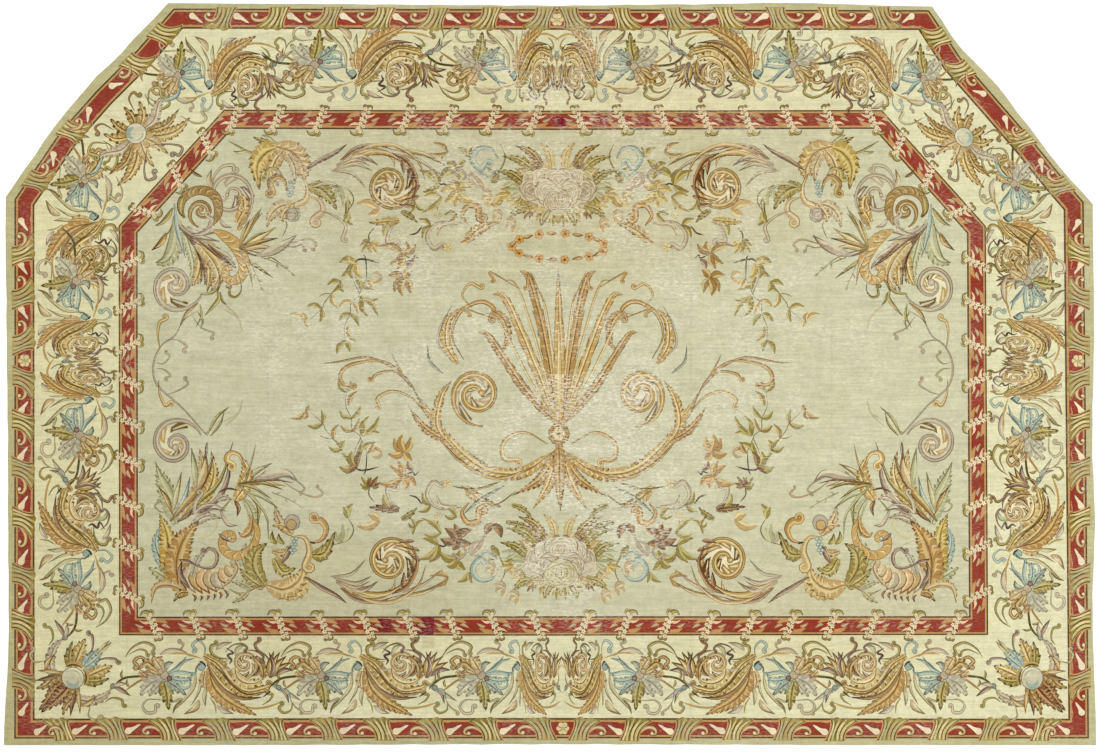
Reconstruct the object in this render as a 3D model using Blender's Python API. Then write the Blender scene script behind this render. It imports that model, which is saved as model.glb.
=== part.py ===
"""A large flat-woven tapestry lying face up: one cloth with its two far corners cut off, and a few low folds."""

import math
from collections import namedtuple

import bpy
from mathutils import Vector
from mathutils.geometry import delaunay_2d_cdt

# Driving dimensions, in metres. +Y is the top of the design, and the origin is under the middle of the cloth.
WIDTH = 5.46
DEPTH = 3.71
THICKNESS = 0.003
CUT_ACROSS = 0.82
CUT_DOWN = 0.97
RIGHT_CUT_LOWER_BY = 0.035
RIGHT_SIDE_SHORT_BY = 0.017

# The spacing of the points along the edge and inside it, and how far the frayed edge wavers.
EDGE_STEP = 0.085
GRID_STEP = 0.19
FOLD_STEP = 0.055
FRAY = 0.0016

# The corners, counterclockwise from above. Each one starts the side that runs to the next.
Corner = namedtuple("Corner", "name x y")
CORNERS = (
    Corner("bottom left", -WIDTH / 2, -DEPTH / 2),
    Corner("bottom right", WIDTH / 2, -DEPTH / 2),
    Corner("right", WIDTH / 2 - RIGHT_SIDE_SHORT_BY, DEPTH / 2 - CUT_DOWN - RIGHT_CUT_LOWER_BY),
    Corner("top right", WIDTH / 2 - CUT_ACROSS, DEPTH / 2 - RIGHT_SIDE_SHORT_BY),
    Corner("top left", -WIDTH / 2 + CUT_ACROSS, DEPTH / 2),
    Corner("left", -WIDTH / 2 + RIGHT_SIDE_SHORT_BY / 2, DEPTH / 2 - CUT_DOWN),
)

# Where each side strays from a straight line: shares of its length, and metres outwards there.
Stray = namedtuple("Stray", "share out")
STRAYS = {
    "bottom left": (Stray(0.17, 0.000), Stray(0.50, -0.005), Stray(0.82, 0.000)),
    "bottom right": (Stray(0.25, -0.014), Stray(0.42, 0.001), Stray(0.55, -0.010), Stray(0.78, 0.003)),
    "right": (Stray(0.20, -0.012), Stray(0.40, -0.004), Stray(0.60, 0.003), Stray(0.82, -0.020)),
    "top right": (Stray(0.20, 0.015), Stray(0.32, 0.005), Stray(0.50, -0.004), Stray(0.85, -0.001)),
    "top left": (Stray(0.25, 0.018), Stray(0.45, 0.041), Stray(0.65, 0.040), Stray(0.85, 0.018)),
    "left": (Stray(0.09, 0.000), Stray(0.20, -0.006), Stray(0.50, -0.016), Stray(0.80, -0.022)),
}

# The low folds that lift the cloth: their middle, direction, length, half width and height.
Fold = namedtuple("Fold", "name x y angle length half height")
FOLDS = (
    Fold("upper left ripple", -0.29, 0.590, -22, 0.34, 0.030, 0.0030),
    Fold("middle left ripple", -0.42, 0.545, -15, 0.44, 0.028, 0.0034),
    Fold("lower left ripple", -0.46, 0.475, -3, 0.60, 0.032, 0.0028),
    Fold("upper right ripple", 0.51, 0.565, -10, 0.56, 0.030, 0.0032),
    Fold("lower right ripple", 0.50, 0.480, -8, 0.42, 0.030, 0.0026),
    Fold("long left crease", -1.20, -0.020, -72, 0.62, 0.036, 0.0034),
    Fold("short left crease", -1.53, 0.110, -78, 0.42, 0.034, 0.0026),
    Fold("middle crease", -0.63, 0.300, -77, 0.40, 0.032, 0.0024),
    Fold("right crease", 1.33, 0.050, 84, 0.52, 0.036, 0.0024),
)
ACROSS_FOLD = (-1.0, -0.62, -0.3, 0.0, 0.3, 0.62, 1.0)


def clear_scene():
    for thing in list(bpy.data.objects):
        bpy.data.objects.remove(thing, do_unlink=True)


def stray_at(strays, share):
    """The side's distance outwards at this share of its length, eased from one station to the next."""
    stations = (Stray(0.0, 0.0), *strays, Stray(1.0, 0.0))
    for before, after in zip(stations, stations[1:]):
        if share <= after.share:
            t = (share - before.share) / (after.share - before.share)
            ease = (1 - math.cos(math.pi * t)) / 2
            return before.out + (after.out - before.out) * ease
    return 0.0


def outline():
    """Points around the raw edge, counterclockwise, with the waver of a hand-woven selvedge."""
    points = []
    for corner, following in zip(CORNERS, CORNERS[1:] + CORNERS[:1]):
        start = Vector((corner.x, corner.y))
        along = Vector((following.x, following.y)) - start
        outward = Vector((along.y, -along.x)).normalized()
        steps = round(along.length / EDGE_STEP)
        for step in range(steps):
            share = step / steps
            fray = FRAY * math.sin(2.3 * len(points)) * math.sin(math.pi * share)
            out = stray_at(STRAYS[corner.name], share) + fray
            points.append(start + along * share + outward * out)
    return points


def fold_place(fold, x, y):
    """A point's place in a fold: along it and across it, each from -1 to 1 inside the fold."""
    turn = math.radians(fold.angle)
    dx, dy = x - fold.x, y - fold.y
    along = dx * math.cos(turn) + dy * math.sin(turn)
    across = dy * math.cos(turn) - dx * math.sin(turn)
    return along / (fold.length / 2), across / fold.half


def lift(x, y):
    """How far the folds raise the cloth off the floor here. It is zero outside the folds."""
    height = 0.0
    for fold in FOLDS:
        along, across = fold_place(fold, x, y)
        if abs(along) < 1 and abs(across) < 1:
            height += fold.height * (1 - along ** 2) ** 2 * (1 - across ** 2) ** 2
    return height


def fold_points():
    """Rows of points along each fold, close enough together to give its rounded section."""
    points = []
    for fold in FOLDS:
        turn = math.radians(fold.angle)
        run = Vector((math.cos(turn), math.sin(turn)))
        side = Vector((-run.y, run.x))
        steps = round(fold.length / FOLD_STEP)
        for step in range(steps + 1):
            along = run * fold.length * (step / steps - 0.5)
            for share in ACROSS_FOLD:
                points.append(Vector((fold.x, fold.y)) + along + side * fold.half * share)
    return points


def is_inside(point, edge):
    """Whether a ray from the point towards +X crosses the edge an odd number of times."""
    crossings = 0
    for start, end in zip(edge, edge[1:] + edge[:1]):
        if (start.y > point.y) != (end.y > point.y):
            share = (point.y - start.y) / (end.y - start.y)
            crossings += point.x < start.x + share * (end.x - start.x)
    return crossings % 2 == 1


def grid_points(edge, kept):
    """An even grid inside the edge, left open where the folds have their own points."""
    grid = []
    nearest_edge = 0.5 * EDGE_STEP
    nearest_fold = 0.6 * FOLD_STEP
    across = round(WIDTH / GRID_STEP)
    up = round(DEPTH / GRID_STEP)
    for i in range(1, across):
        for j in range(1, up):
            point = Vector((WIDTH * (i / across - 0.5), DEPTH * (j / up - 0.5)))
            near_edge = min((point - other).length for other in edge) < nearest_edge
            near_fold = min((point - other).length for other in kept) < nearest_fold
            if is_inside(point, edge) and not near_edge and not near_fold:
                grid.append(point)
    return grid


def centred(points):
    """The outline moved so that its box is centred on the origin."""
    middle_x = (min(p.x for p in points) + max(p.x for p in points)) / 2
    middle_y = (min(p.y for p in points) + max(p.y for p in points)) / 2
    return [Vector((p.x - middle_x, p.y - middle_y)) for p in points]


def cloth_material():
    material = bpy.data.materials.new("faded_celadon_wool")
    material.use_nodes = True
    shader = material.node_tree.nodes["Principled BSDF"]
    shader.inputs["Base Color"].default_value = (0.61, 0.58, 0.42, 1.0)
    shader.inputs["Roughness"].default_value = 0.92
    shader.inputs["Metallic"].default_value = 0.0
    return material


def make_tapestry():
    """One sheet of constant thickness: its underside is flat on the floor, except where a fold lifts it."""
    edge = centred(outline())
    folds = fold_points()
    flat_points = edge + folds + grid_points(edge, folds)
    merge_within = 1e-5
    points, _, triangles, _, _, inside_of = delaunay_2d_cdt(
        flat_points, [], [list(range(len(edge)))], 0, merge_within, True
    )
    triangles = [corners for corners, outlines in zip(triangles, inside_of) if outlines]
    mesh = bpy.data.meshes.new("tapestry")
    mesh.from_pydata([(p.x, p.y, lift(p.x, p.y)) for p in points], [], triangles)
    mesh.update()
    cloth = bpy.data.objects.new("tapestry", mesh)
    bpy.context.scene.collection.objects.link(cloth)
    thicken = cloth.modifiers.new("thickness", "SOLIDIFY")
    thicken.thickness = THICKNESS
    thicken.offset = 1.0
    mesh.materials.append(cloth_material())
    mesh.shade_smooth()
    mesh.set_sharp_from_angle(angle=math.radians(40))
    return cloth


clear_scene()
make_tapestry()
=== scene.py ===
# %% [markdown]
# # A flat-woven tapestry carpet
# This lesson dresses a large tapestry carpet: one wool cloth, with its design drawn by dyed wefts alone.
# Large ones are often woven in widths that are joined edge to edge, and we make this one so too. The frame
# gives us the cloth as a plain solid at its real size, in metres, lying on the floor. We keep that shape,
# and we make the drawing, the dyes, the weave and the wear.

# %% The frame
from collections import defaultdict, namedtuple

import bpy
import numpy as np
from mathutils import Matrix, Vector
from mathutils.geometry import delaunay_2d_cdt


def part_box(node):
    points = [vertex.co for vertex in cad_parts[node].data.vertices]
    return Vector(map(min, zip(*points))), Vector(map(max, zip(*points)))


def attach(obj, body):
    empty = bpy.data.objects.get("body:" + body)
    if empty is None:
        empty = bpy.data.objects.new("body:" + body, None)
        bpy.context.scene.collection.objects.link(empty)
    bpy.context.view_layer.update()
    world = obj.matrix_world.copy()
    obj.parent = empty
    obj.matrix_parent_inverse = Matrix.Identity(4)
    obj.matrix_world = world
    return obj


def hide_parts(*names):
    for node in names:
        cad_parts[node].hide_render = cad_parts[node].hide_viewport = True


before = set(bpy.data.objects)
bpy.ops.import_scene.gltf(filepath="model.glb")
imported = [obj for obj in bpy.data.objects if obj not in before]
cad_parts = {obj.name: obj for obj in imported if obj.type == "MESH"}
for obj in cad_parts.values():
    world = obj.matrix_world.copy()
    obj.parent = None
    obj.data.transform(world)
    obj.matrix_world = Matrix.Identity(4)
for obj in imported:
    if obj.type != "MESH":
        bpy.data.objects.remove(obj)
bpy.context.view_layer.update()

cloth_low, cloth_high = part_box("tapestry")
print("the cloth is", [round(v, 3) for v in cloth_high - cloth_low], "metres")

# %% [markdown]
# A weaver works from a cartoon, a full-size drawing that lies under the warps, so we draw one too. It is
# ruled in centimetres, with x to the right and y down from its top left corner. A point on it is a complex
# number, because turning, mirroring and scaling are then one multiplication. A patch of colour is an
# outline and the name of a dye. Patches are laid on each other like paper, and the last one shows.

# %% [markdown]
# The dyes, faded by light and wear. Each family of leaves has an outline, a body and a light.

# %% Dyes
DYES = {
    "field": (204, 201, 167), "cream": (224, 219, 178), "selvedge": (190, 184, 138),
    "brick": (146, 50, 34), "crimson": (124, 8, 30), "buff": (192, 148, 92), "umber": (84, 56, 24),
    "shell": (238, 218, 182), "bone": (230, 221, 184), "ink": (52, 38, 26),
}
FAMILIES = {
    "gold": ((104, 76, 28), (180, 145, 76), (228, 208, 150)),
    "tan": ((130, 98, 56), (192, 162, 110), (224, 205, 156)),
    "rust": ((88, 58, 20), (150, 114, 56), (206, 180, 116)),
    "olive": ((80, 66, 18), (140, 120, 48), (190, 176, 104)),
    "moss": ((98, 82, 28), (158, 140, 68), (202, 188, 124)),
    "sage": ((122, 118, 78), (172, 170, 128), (206, 204, 162)),
    "grey": ((124, 116, 96), (174, 166, 142), (208, 203, 174)),
    "blue": ((98, 116, 108), (150, 171, 158), (197, 207, 188)),
    "lilac": ((124, 106, 86), (180, 163, 138), (216, 204, 172)),
    "mauve": ((80, 54, 46), (128, 97, 84), (188, 166, 138)),
    "pink": ((130, 104, 68), (190, 166, 124), (222, 206, 162)),
    "peach": ((130, 96, 46), (190, 158, 100), (228, 208, 152)),
    "steel": ((86, 96, 86), (136, 144, 126), (186, 188, 162)),
    "ochre": ((108, 82, 22), (180, 146, 62), (218, 198, 124)),
    "ochre_pale": ((160, 130, 70), (204, 182, 118), (230, 215, 162)),
    "copper": ((106, 68, 26), (172, 128, 64), (212, 180, 116)),
    "rose": ((156, 136, 114), (198, 184, 156), (226, 216, 188)),
    "deep": ((66, 34, 14), (114, 68, 34), (184, 140, 88)),
    "wreath": ((140, 88, 24), (200, 146, 66), (212, 160, 84)),
    "straw": ((100, 68, 24), (206, 176, 112), (236, 222, 174)),
    "amber": ((124, 88, 34), (192, 152, 82), (232, 212, 152)),
    "hook": ((100, 60, 26), (190, 150, 94), (222, 194, 140)),
    "buff_leaf": ((128, 84, 44), (212, 172, 122), (236, 210, 166)),
    "ash_leaf": ((118, 102, 58), (186, 175, 128), (216, 208, 164)),
    "umber_leaf": ((70, 42, 22), (110, 74, 42), (168, 126, 82)),
}
FADED = np.array((196, 188, 140))
for family, tones in FAMILIES.items():
    for tone, colour, share in zip(("dark", "mid", "light"), tones, (0.0, 0.14, 0.14)):
        DYES[family + "_" + tone] = tuple((1 - share) * np.array(colour) + share * FADED)
print(len(FAMILIES), "families of leaves and", len(DYES) - 3 * len(FAMILIES), "plain dyes")

# %% [markdown]
# Now the pens. A weaver steps along a curve and changes a shape's width on the way, and so does a pen here:
# it runs a smooth curve through a few points, and lays a ribbon on it that swells and tapers. We could
# list outlines instead, but a spine and a width say the same with a quarter of the numbers.

# %% Curves, ribbons and rounds
def smooth(points, per_span=5):
    """A smooth curve through a few points, which are complex numbers in centimetres."""
    p = np.array(points, complex)
    p = np.concatenate([[2 * p[0] - p[1]], p, [2 * p[-1] - p[-2]]])
    t = np.arange(per_span) / per_span
    spans = []
    for a, b, c, d in zip(p, p[1:], p[2:], p[3:]):
        curve = 2 * b + (c - a) * t + (2 * a - 5 * b + 4 * c - d) * t ** 2 + (3 * b - 3 * c + d - a) * t ** 3
        spans.append(curve / 2)
    return np.concatenate([*spans, p[-2:-1]])


def sides(curve):
    """The unit vectors across a curve."""
    along = np.gradient(curve)
    return 1j * along / np.maximum(abs(along), 1e-9)


def ribbon(curve, widths, lean=0.0):
    """A band along a curve. widths are spread evenly along it, and lean moves the band to one side."""
    half = np.interp(np.linspace(0, 1, len(curve)), np.linspace(0, 1, len(widths)), widths) / 2
    across = sides(curve)
    return np.concatenate([curve + across * half * (1 + lean), (curve - across * half * (1 - lean))[::-1]])


def disc(centre, radius, corners=9, squash=1.0, turn=0.0):
    """A round or oval outline."""
    angle = np.linspace(0, 2 * np.pi, corners, endpoint=False) + turn
    return centre + radius * (np.cos(angle) + 1j * squash * np.sin(angle))


def arc(centre, radius, start, sweep, widths, steps=6):
    """A ribbon along part of a circle. The angles are in degrees."""
    angle = np.radians(start + sweep * np.linspace(0, 1, steps))
    return ribbon(centre + radius * np.exp(1j * angle), widths)


def band(points, width, dye, per_span=4):
    """A plain line of even width with tapered ends."""
    return [(ribbon(smooth(points, per_span), (0.3 * width, width, width, width, 0.3 * width)), dye)]


print("a curve through three points has", len(smooth([0, 5, 10])), "points")

# %% [markdown]
# A plain leaf is three patches. Weavers shade a leaf with hatches of a few dyes, and from some metres away
# they read as an outline, a body and a light.

# %% Plain leaf
def leaf(points, width, family, per_span=3, edge=0.3):
    """A smooth pointed leaf: a thin outline that is stronger on one side, a body, and a light."""
    curve = smooth(points, per_span)
    shape = np.array((0.25, 0.8, 1.0, 0.85, 0.5, 0.12)) * width
    inner = np.maximum(shape - 2 * edge, 0.08)
    return [
        (ribbon(curve, shape, 0.12), family + "_dark"),
        (ribbon(curve[:-1], inner), family + "_mid"),
        (ribbon(curve[1:-1], inner * 0.5, -0.95), family + "_light"),
    ]


print("a leaf has", len(leaf([0, 5, 10], 3, "gold")), "patches")

# %% [markdown]
# Acanthus is the main leaf of such cloths. Its edge is a row of lobes that lean towards the tip, with a
# notch between each two. A formula for one lobe, repeated on both sides of the rib, makes a leaf of any
# length, which drawing every lobe would not.

# %% Acanthus leaf
def envelope(share):
    """How wide an acanthus leaf is along its rib, from its foot at 0 to its tip at 1."""
    return np.sin(np.pi * share ** 0.75) ** 0.8 * (1 - 0.25 * share) + 0.06


def toothed(curve, width, lobes, both, start=0.42, reach=1.0):
    """The outline of a lobed leaf: each lobe has a notch, a shoulder and a tip that leans forward."""
    across, count = sides(curve), len(curve) - 1
    along = -1j * across
    pieces = []
    for side in (1, -1):
        edge = []
        for lobe in range(lobes):
            for place, depth, forward in ((0.0, start, 0.0), (0.3, 0.9, -0.04), (0.75, 1.12, 0.16)):
                share = (lobe + place) / lobes
                i = min(int(share * count), count)
                half = width / 2 * envelope(share) * reach
                if not both and side < 0:
                    depth, forward = 0.3, 0.0
                edge.append(curve[i] + side * across[i] * half * depth + along[i] * half * 2.2 * forward)
        pieces.append(edge)
    return np.array([*pieces[0], curve[-1], *pieces[1][::-1]])


def frond(points, width, family, both=True, edge=0.22, notch=0.42):
    """An acanthus leaf: a lobed body with a thin outline, curved lights between the lobes, and a rib."""
    curve = smooth(points, 6)
    across, count = sides(curve), len(curve) - 1
    along = -1j * across
    length = abs(np.diff(curve)).sum()
    lobes = max(4, int(length / 2.7))
    patches = [
        (toothed(curve, width + 2 * edge, lobes, both, notch) + 0.1 + 0.12j, family + "_dark"),
        (toothed(curve[:-1], width, lobes, both, notch), family + "_mid"),
    ]
    for side in (1, -1) if both else (1,):
        for lobe in range(lobes):
            i = int((lobe + 0.25) / lobes * count)
            half = width / 2 * envelope((lobe + 0.5) / lobes)
            foot = curve[i] + side * across[i] * 0.12 * half
            tip = curve[i] + side * across[i] * half * 0.92 + along[i] * (0.55 * half + 0.3)
            bend = (foot + tip) / 2 - side * across[i] * 0.12 * half + along[i] * 0.3 * half
            stroke = min(0.34 * half, 0.5 * length / lobes)
            patches.append((ribbon(np.array([foot, bend, tip]), (0.1, stroke, 0.1)), family + "_light"))
            if lobe % 2 and side > 0:
                shade = np.array([foot - along[i] * 0.1, foot + along[i] * 0.3,
                                  (bend + tip) / 2 + along[i] * 0.5])
                patches.append((shade, family + "_dark"))
    whole = width * np.array((0.04, 0.13, 0.15, 0.1, 0.02))
    patches.append((ribbon(curve[1:-1], whole, 2.2), family + "_light"))
    patches.append((ribbon(curve[:-1], (0.42, 0.5, 0.36, 0.15)), family + "_dark"))
    return patches


print("an acanthus leaf has", len(frond([0, 5, 10], 3, "gold")), "patches")

# %% [markdown]
# A thick leaf that rolls over shows slanting lights across its body, one behind the other.

# %% Rolled leaf seen from its side
def ribbed(points, widths, family, ribs=8, per_span=5, lean=0.0):
    """A thick rolled leaf: a dark outline, a body, and slanting lights across it."""
    curve = smooth(points, per_span)
    half = np.interp(np.linspace(0, 1, len(curve)), np.linspace(0, 1, len(widths)), widths) / 2
    across = sides(curve)
    patches = [(ribbon(curve, [w + 0.6 for w in widths], lean), family + "_dark"),
               (ribbon(curve, widths, lean), family + "_mid")]
    for k in range(ribs):
        i = int((k + 0.6) / (ribs + 0.8) * (len(curve) - 1))
        j = min(i + 2, len(curve) - 1)
        first = curve[i] + across[i] * half[i] * (0.9 + lean)
        last = curve[j] - across[j] * half[j] * (0.75 - lean)
        bend = (first + last) / 2 + (curve[j] - curve[i]) * 0.5
        thick = 0.26 * half[i] + 0.1
        patches.append((ribbon(np.array([first, bend, last]), (0.1, thick, 0.1)), family + "_light"))
        patches.append((ribbon(np.array([first, bend, last]) + (curve[j] - curve[i]) * 0.4,
                               (0.1, 0.5 * thick, 0.1)), family + "_dark"))
    return patches


print("a rolled leaf has", len(ribbed([0, 5, 10], (1, 3, 1), "gold")), "patches")

# %% [markdown]
# Stems and tendrils end in a small volute. The pen carries the curve's last turn on around an eye.

# %% Tendril
def curl(points, width, family):
    """A hook whose end rolls up into a small volute."""
    curve = smooth(points, 4)
    way = curve[-1] - curve[-2]
    before = curve[-2] - curve[-3]
    hand = 1 if (np.conj(before) * way).imag >= 0 else -1
    radius = 0.56 * width + 0.22
    eye = curve[-1] + 1j * hand * way / abs(way) * radius
    turn = np.exp(1j * hand * np.linspace(0.6, 6.2, 8))
    roll = eye + (curve[-1] - eye) * turn * np.linspace(0.97, 0.42, 8)
    whole = np.concatenate([curve, roll])
    share = np.linspace(0, 1, len(whole))
    shape = width * np.interp(share, (0, 0.2, 0.45, 0.6, 0.8, 1), (0.15, 0.6, 1.0, 0.95, 0.62, 0.5))
    patches = [
        (ribbon(whole, shape + 0.1, 0.1), family + "_dark"),
        (ribbon(whole[:-1], np.maximum(shape[:-1] - 0.42, 0.1)), family + "_mid"),
    ]
    if width > 1.4:
        light = np.maximum(shape[1:-1] - 0.5, 0.1) * 0.4
        patches.append((ribbon(whole[1:-1], light, -0.9 * hand), family + "_light"))
    return patches


print("a tendril has", len(curl([0, 5, 8+3j], 2, "gold")), "patches")

# %% [markdown]
# The largest ornament is a leaf rolled into a spiral, with teeth on its inner side. Its distances from the
# eye at every quarter turn are enough to draw it, and the teeth fill whatever gap two turns leave.

# %% Leaf rolled into a spiral
def whorl(centre, radii, start, hand, ring, family, teeth=14, other=None):
    """A rolled-up leaf. Its ring winds in to an eye, and curved teeth stand on the ring's inner side.
    The radii are its distances from the centre at every quarter turn, from an angle in degrees."""
    quarter = 7
    distance = smooth(radii, quarter).real
    angle = np.radians(start) + hand * np.pi / 2 * np.arange(len(distance)) / quarter
    curve = centre + distance * np.exp(1j * angle)
    shape = np.array((0.15, 0.75, 1.0, 1.0, 0.9, 0.75, 0.6, 0.5)) * ring
    size = len(curve)
    turn = 4 * quarter
    turn_start = max(min(quarter, size - turn - 1), 0)
    patches = [(curve[turn_start:turn_start + turn], "bone")] if teeth > 7 else []
    for k in range(teeth):
        i = int((k + 0.7) / (teeth + 0.6) * size)
        steps = np.minimum(i + np.array((0, 1, 3, 4)), size - 1)
        rim_here = distance[steps]
        inner = np.where(steps + turn < size, distance[np.minimum(steps + turn, size - 1)], 0.1 * rim_here)
        gap = np.maximum(rim_here - 0.8 * ring - inner, 0.1)
        if gap.max() < 0.6:
            continue
        spacing = distance[i] * np.pi / 2 * (size - 1) / quarter / teeth
        away = rim_here - 0.5 * ring - gap * np.array((0.0, 0.3, 0.62, 0.86))
        spine = centre + away * np.exp(1j * angle[steps])
        wide = min(0.8 * spacing, 0.42 * distance[i], 0.7 * gap.max())
        dye = (other or family) + ("_mid" if k % 3 else "_dark")
        patches.append((ribbon(spine, np.array((1.2, 1.0, 0.6, 0.08)) * wide), dye))
        patches.append((ribbon(spine[:-1], np.array((0.2, 0.3, 0.1)) * wide, 0.9 * hand),
                        family + "_light"))
    patches += [
        (ribbon(curve, shape + 0.55, 0.75 * hand), family + "_dark"),
        (ribbon(curve, shape, hand), family + "_mid"),
        (ribbon(curve[2:-1], shape * 0.24, 5.4 * hand), family + "_light"),
        (ribbon(curve[4:-4], shape * 0.14, 5.0 * hand), family + "_dark"),
        (disc(curve[-1], 0.5 * ring + 0.3, 10), family + "_dark"),
        (disc(curve[-1], 0.5 * ring, 10), family + "_mid"),
        (disc(curve[-1] - 0.1 * ring, 0.22 * ring, 7), family + "_light"),
    ]
    return patches


print("a spiral leaf has", len(whorl(0, (8, 6, 5, 4, 3, 2), 0, 1, 2, "gold")), "patches")

# %% [markdown]
# Flowers and berries are rounds on rounds: a dark one for the rim, and a lighter one inside it.

# %% Flowers and berries
def rosette(centre, radius, petals, family, eye="bone", turn=0.0):
    """A round flower, seen from the front."""
    patches = []
    for k in range(petals):
        way = np.exp(1j * (2 * np.pi * k / petals + turn))
        patches += [(disc(centre + way * radius * 0.55, radius * 0.46, 7), family + "_dark"),
                    (disc(centre + way * radius * 0.58, radius * 0.38, 7), family + "_light")]
    return patches + [(disc(centre, radius * 0.26, 7), eye)]


def rose(centre, radius, family, turn=0.0):
    """A full-blown rose: a lobed round of pale petals, each with a thin dark rim and a light inside it."""
    angle = np.linspace(0, 2 * np.pi, 28, endpoint=False)
    edge = radius * (1 + 0.07 * np.cos(7 * angle + turn)) * np.exp(1j * angle)
    patches = [(centre + edge * 1.05, "mauve_mid"), (centre + edge * 0.96, family + "_mid")]
    for ring, (count, out) in enumerate(((5, 0.84), (5, 0.6), (4, 0.38), (3, 0.18))):
        for k in range(count):
            start = 360 * (k + 0.5 * ring) / count + 40 * turn
            sweep = 330 / count
            at = centre + 0.13 * radius * np.exp(1j * np.radians(start + sweep / 2))
            patches += [
                (arc(at, radius * out, start, sweep, (0.1, 0.15 * radius, 0.2 * radius, 0.1)),
                 family + "_light"),
                (arc(at, radius * (out - 0.09), start + 4, sweep - 6,
                     (0.08, 0.04 * radius, 0.045 * radius, 0.08)),
                 family + "_dark"),
            ]
    return patches + [(disc(centre, radius * 0.07, 6), family + "_dark")]


def berries(centre, rows, size, family="blue"):
    """A narrow bunch of round berries, two to a row in turn with one."""
    patches = []
    for row in range(rows):
        for k in range(2 - row % 2):
            along = 1.05 * (k - 0.5 + 0.5 * (row % 2)) - 0.12 * row
            at = centre + size * (along + 0.8j * (row - rows / 2))
            patches += [(disc(at, size * 0.6, 9), family + "_dark"),
                        (disc(at, size * 0.48, 8), family + "_mid"),
                        (disc(at - size * (0.08 + 0.1j), size * 0.28, 6), family + "_light")]
    return patches


print("a rose has", len(rose(0, 4, "pink")), "patches")

# %% [markdown]
# A vine's leaf has three or five pointed lobes. Each is dark on one side of its rib and light on the
# other, which at this size reads as a fold.

# %% Vine leaves
def blade(base, tip, width, family, bend=0.12):
    """One pointed lobe with its rib: dark on one side of the rib, and light on the other."""
    way = tip - base
    middle = (base + tip) / 2 + 1j * way * bend
    curve = smooth([base, middle, tip], 3)
    shape = np.array((0.3, 0.85, 1.0, 0.62, 0.05)) * width
    return [(ribbon(curve, shape + 0.16, 0.1), family + "_dark"), (ribbon(curve, shape), family + "_mid"),
            (ribbon(curve[:-1], shape[:-1] * 0.42, -1.0), family + "_light"),
            (ribbon(curve[:-1], (0.24, 0.16, 0.1)), family + "_dark")]


def ivy(base, way, size, family, turn=0.0):
    """A pointed leaf of three or five lobes, as on a vine."""
    way = way / abs(way) * np.exp(1j * turn)
    patches = []
    for angle, share in ((-1.05, 0.5), (1.05, 0.5), (-0.55, 0.74), (0.55, 0.74), (0, 1)):
        tip = base + way * (0.22 + share) * size * 0.85 * np.exp(1j * angle * 0.9)
        foot = base + way * size * 0.08
        patches += blade(foot, tip, size * (0.24 + 0.07 * share), family, 0.1 * np.sign(angle))
    return patches


def sprig(points, width, family):
    """A thin stem with three small leaves in turn on its two sides, and one at its tip."""
    curve = smooth(points, 6)
    across, count = sides(curve), len(curve) - 1
    patches = [(ribbon(curve, (0.45, 0.36, 0.22)), family + "_dark")]
    for k in range(3):
        i = int((k + 0.8) / 3.6 * count)
        side = 1 if k % 2 else -1
        way = -1j * across[i] * np.exp(0.8j * side)
        patches += blade(curve[i], curve[i] + way * (2.5 - 0.2 * k), width, family, 0.14 * side)
    return patches + blade(curve[-1], curve[-1] - 1j * across[-1] * 2.5, width, family)


print("an ivy leaf has", len(ivy(0, 1j, 3, "moss")), "patches")

# %% [markdown]
# A motif that repeats is drawn once, near zero, and is then placed wherever the cartoon needs it.

# %% Placing a motif
def place(motif, at, along=1, inner=1j):
    """A motif moved, turned, mirrored or scaled: its x runs along, and its y towards inner."""
    return [(at + along * outline.real + inner * outline.imag, dye) for outline, dye in motif]


print("a disc placed at 10+5j starts at", place([(disc(0, 1), "bone")], 10+5j)[0][0][0])

# %% [markdown]
# Most of the drawing is then tables. A row has a pen, a width, a family of dyes, and the points in order
# from foot to tip, so the pens that tables use all take the same three arguments.

# %% Drawn rows
def half_frond(points, width, family):
    """An acanthus leaf with lobes on one side only."""
    return frond(points, width, family, both=False)


def bead(points, radius, family):
    """A round spot with a rim, at the only point."""
    return [(disc(points[0], radius), family + "_dark"), (disc(points[0], radius - 0.45), family + "_mid")]


def drawn(*rows):
    """The patches of a table whose rows have a pen, a width, a family of dyes, and points."""
    patches = []
    for pen, width, family, *points in rows:
        patches += pen(points, width, family)
    return patches


print("a row makes", len(drawn((leaf, 3, "gold", 0, 5, 10))), "patches")

# %% [markdown]
# The two halves of this cloth mirror each other on a middle line that leans a little, as the weavers'
# tension pulled it. The right half is also slightly narrower, and its cut corner sits lower. We could draw
# both halves, but a formula keeps them alike: it mirrors a point, narrows it, and pushes what lies near the
# right cut inwards.

# %% The right half
AXIS_TOP = 278.3
AXIS_LEAN = 2.95 / 372
RIGHT_WIDTH = 0.977
RIGHT_TAPER = 0.000046
CUT_ALONG = np.exp(0.84j)
CUT_MIDDLE = 511 + 52j
CUT_REACH = 73
CUT_DEPTH = 52
CUT_PUSH = 7


def to_right(outline):
    """An outline's copy on the right half: mirrored on the leaning line, narrower, with a straight cut."""
    y = outline.imag
    axis = AXIS_TOP + AXIS_LEAN * y
    p = axis + (axis - outline.real) * (RIGHT_WIDTH - RIGHT_TAPER * y) + 1j * y
    inwards = CUT_ALONG * 1j
    along = ((p - CUT_MIDDLE) * np.conj(CUT_ALONG)).real / CUT_REACH
    depth = ((p - CUT_MIDDLE) * np.conj(inwards)).real / CUT_DEPTH
    return p + inwards * CUT_PUSH * np.clip(1 - along ** 2, 0, 1) * np.clip(1 - depth, 0, 1.15)


def whole_ring(left):
    """A closed outline from its left half, which runs from the top of the middle line to its bottom."""
    left = np.array(left)
    return np.concatenate([left, to_right(left[1:-1])[::-1]])


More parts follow.
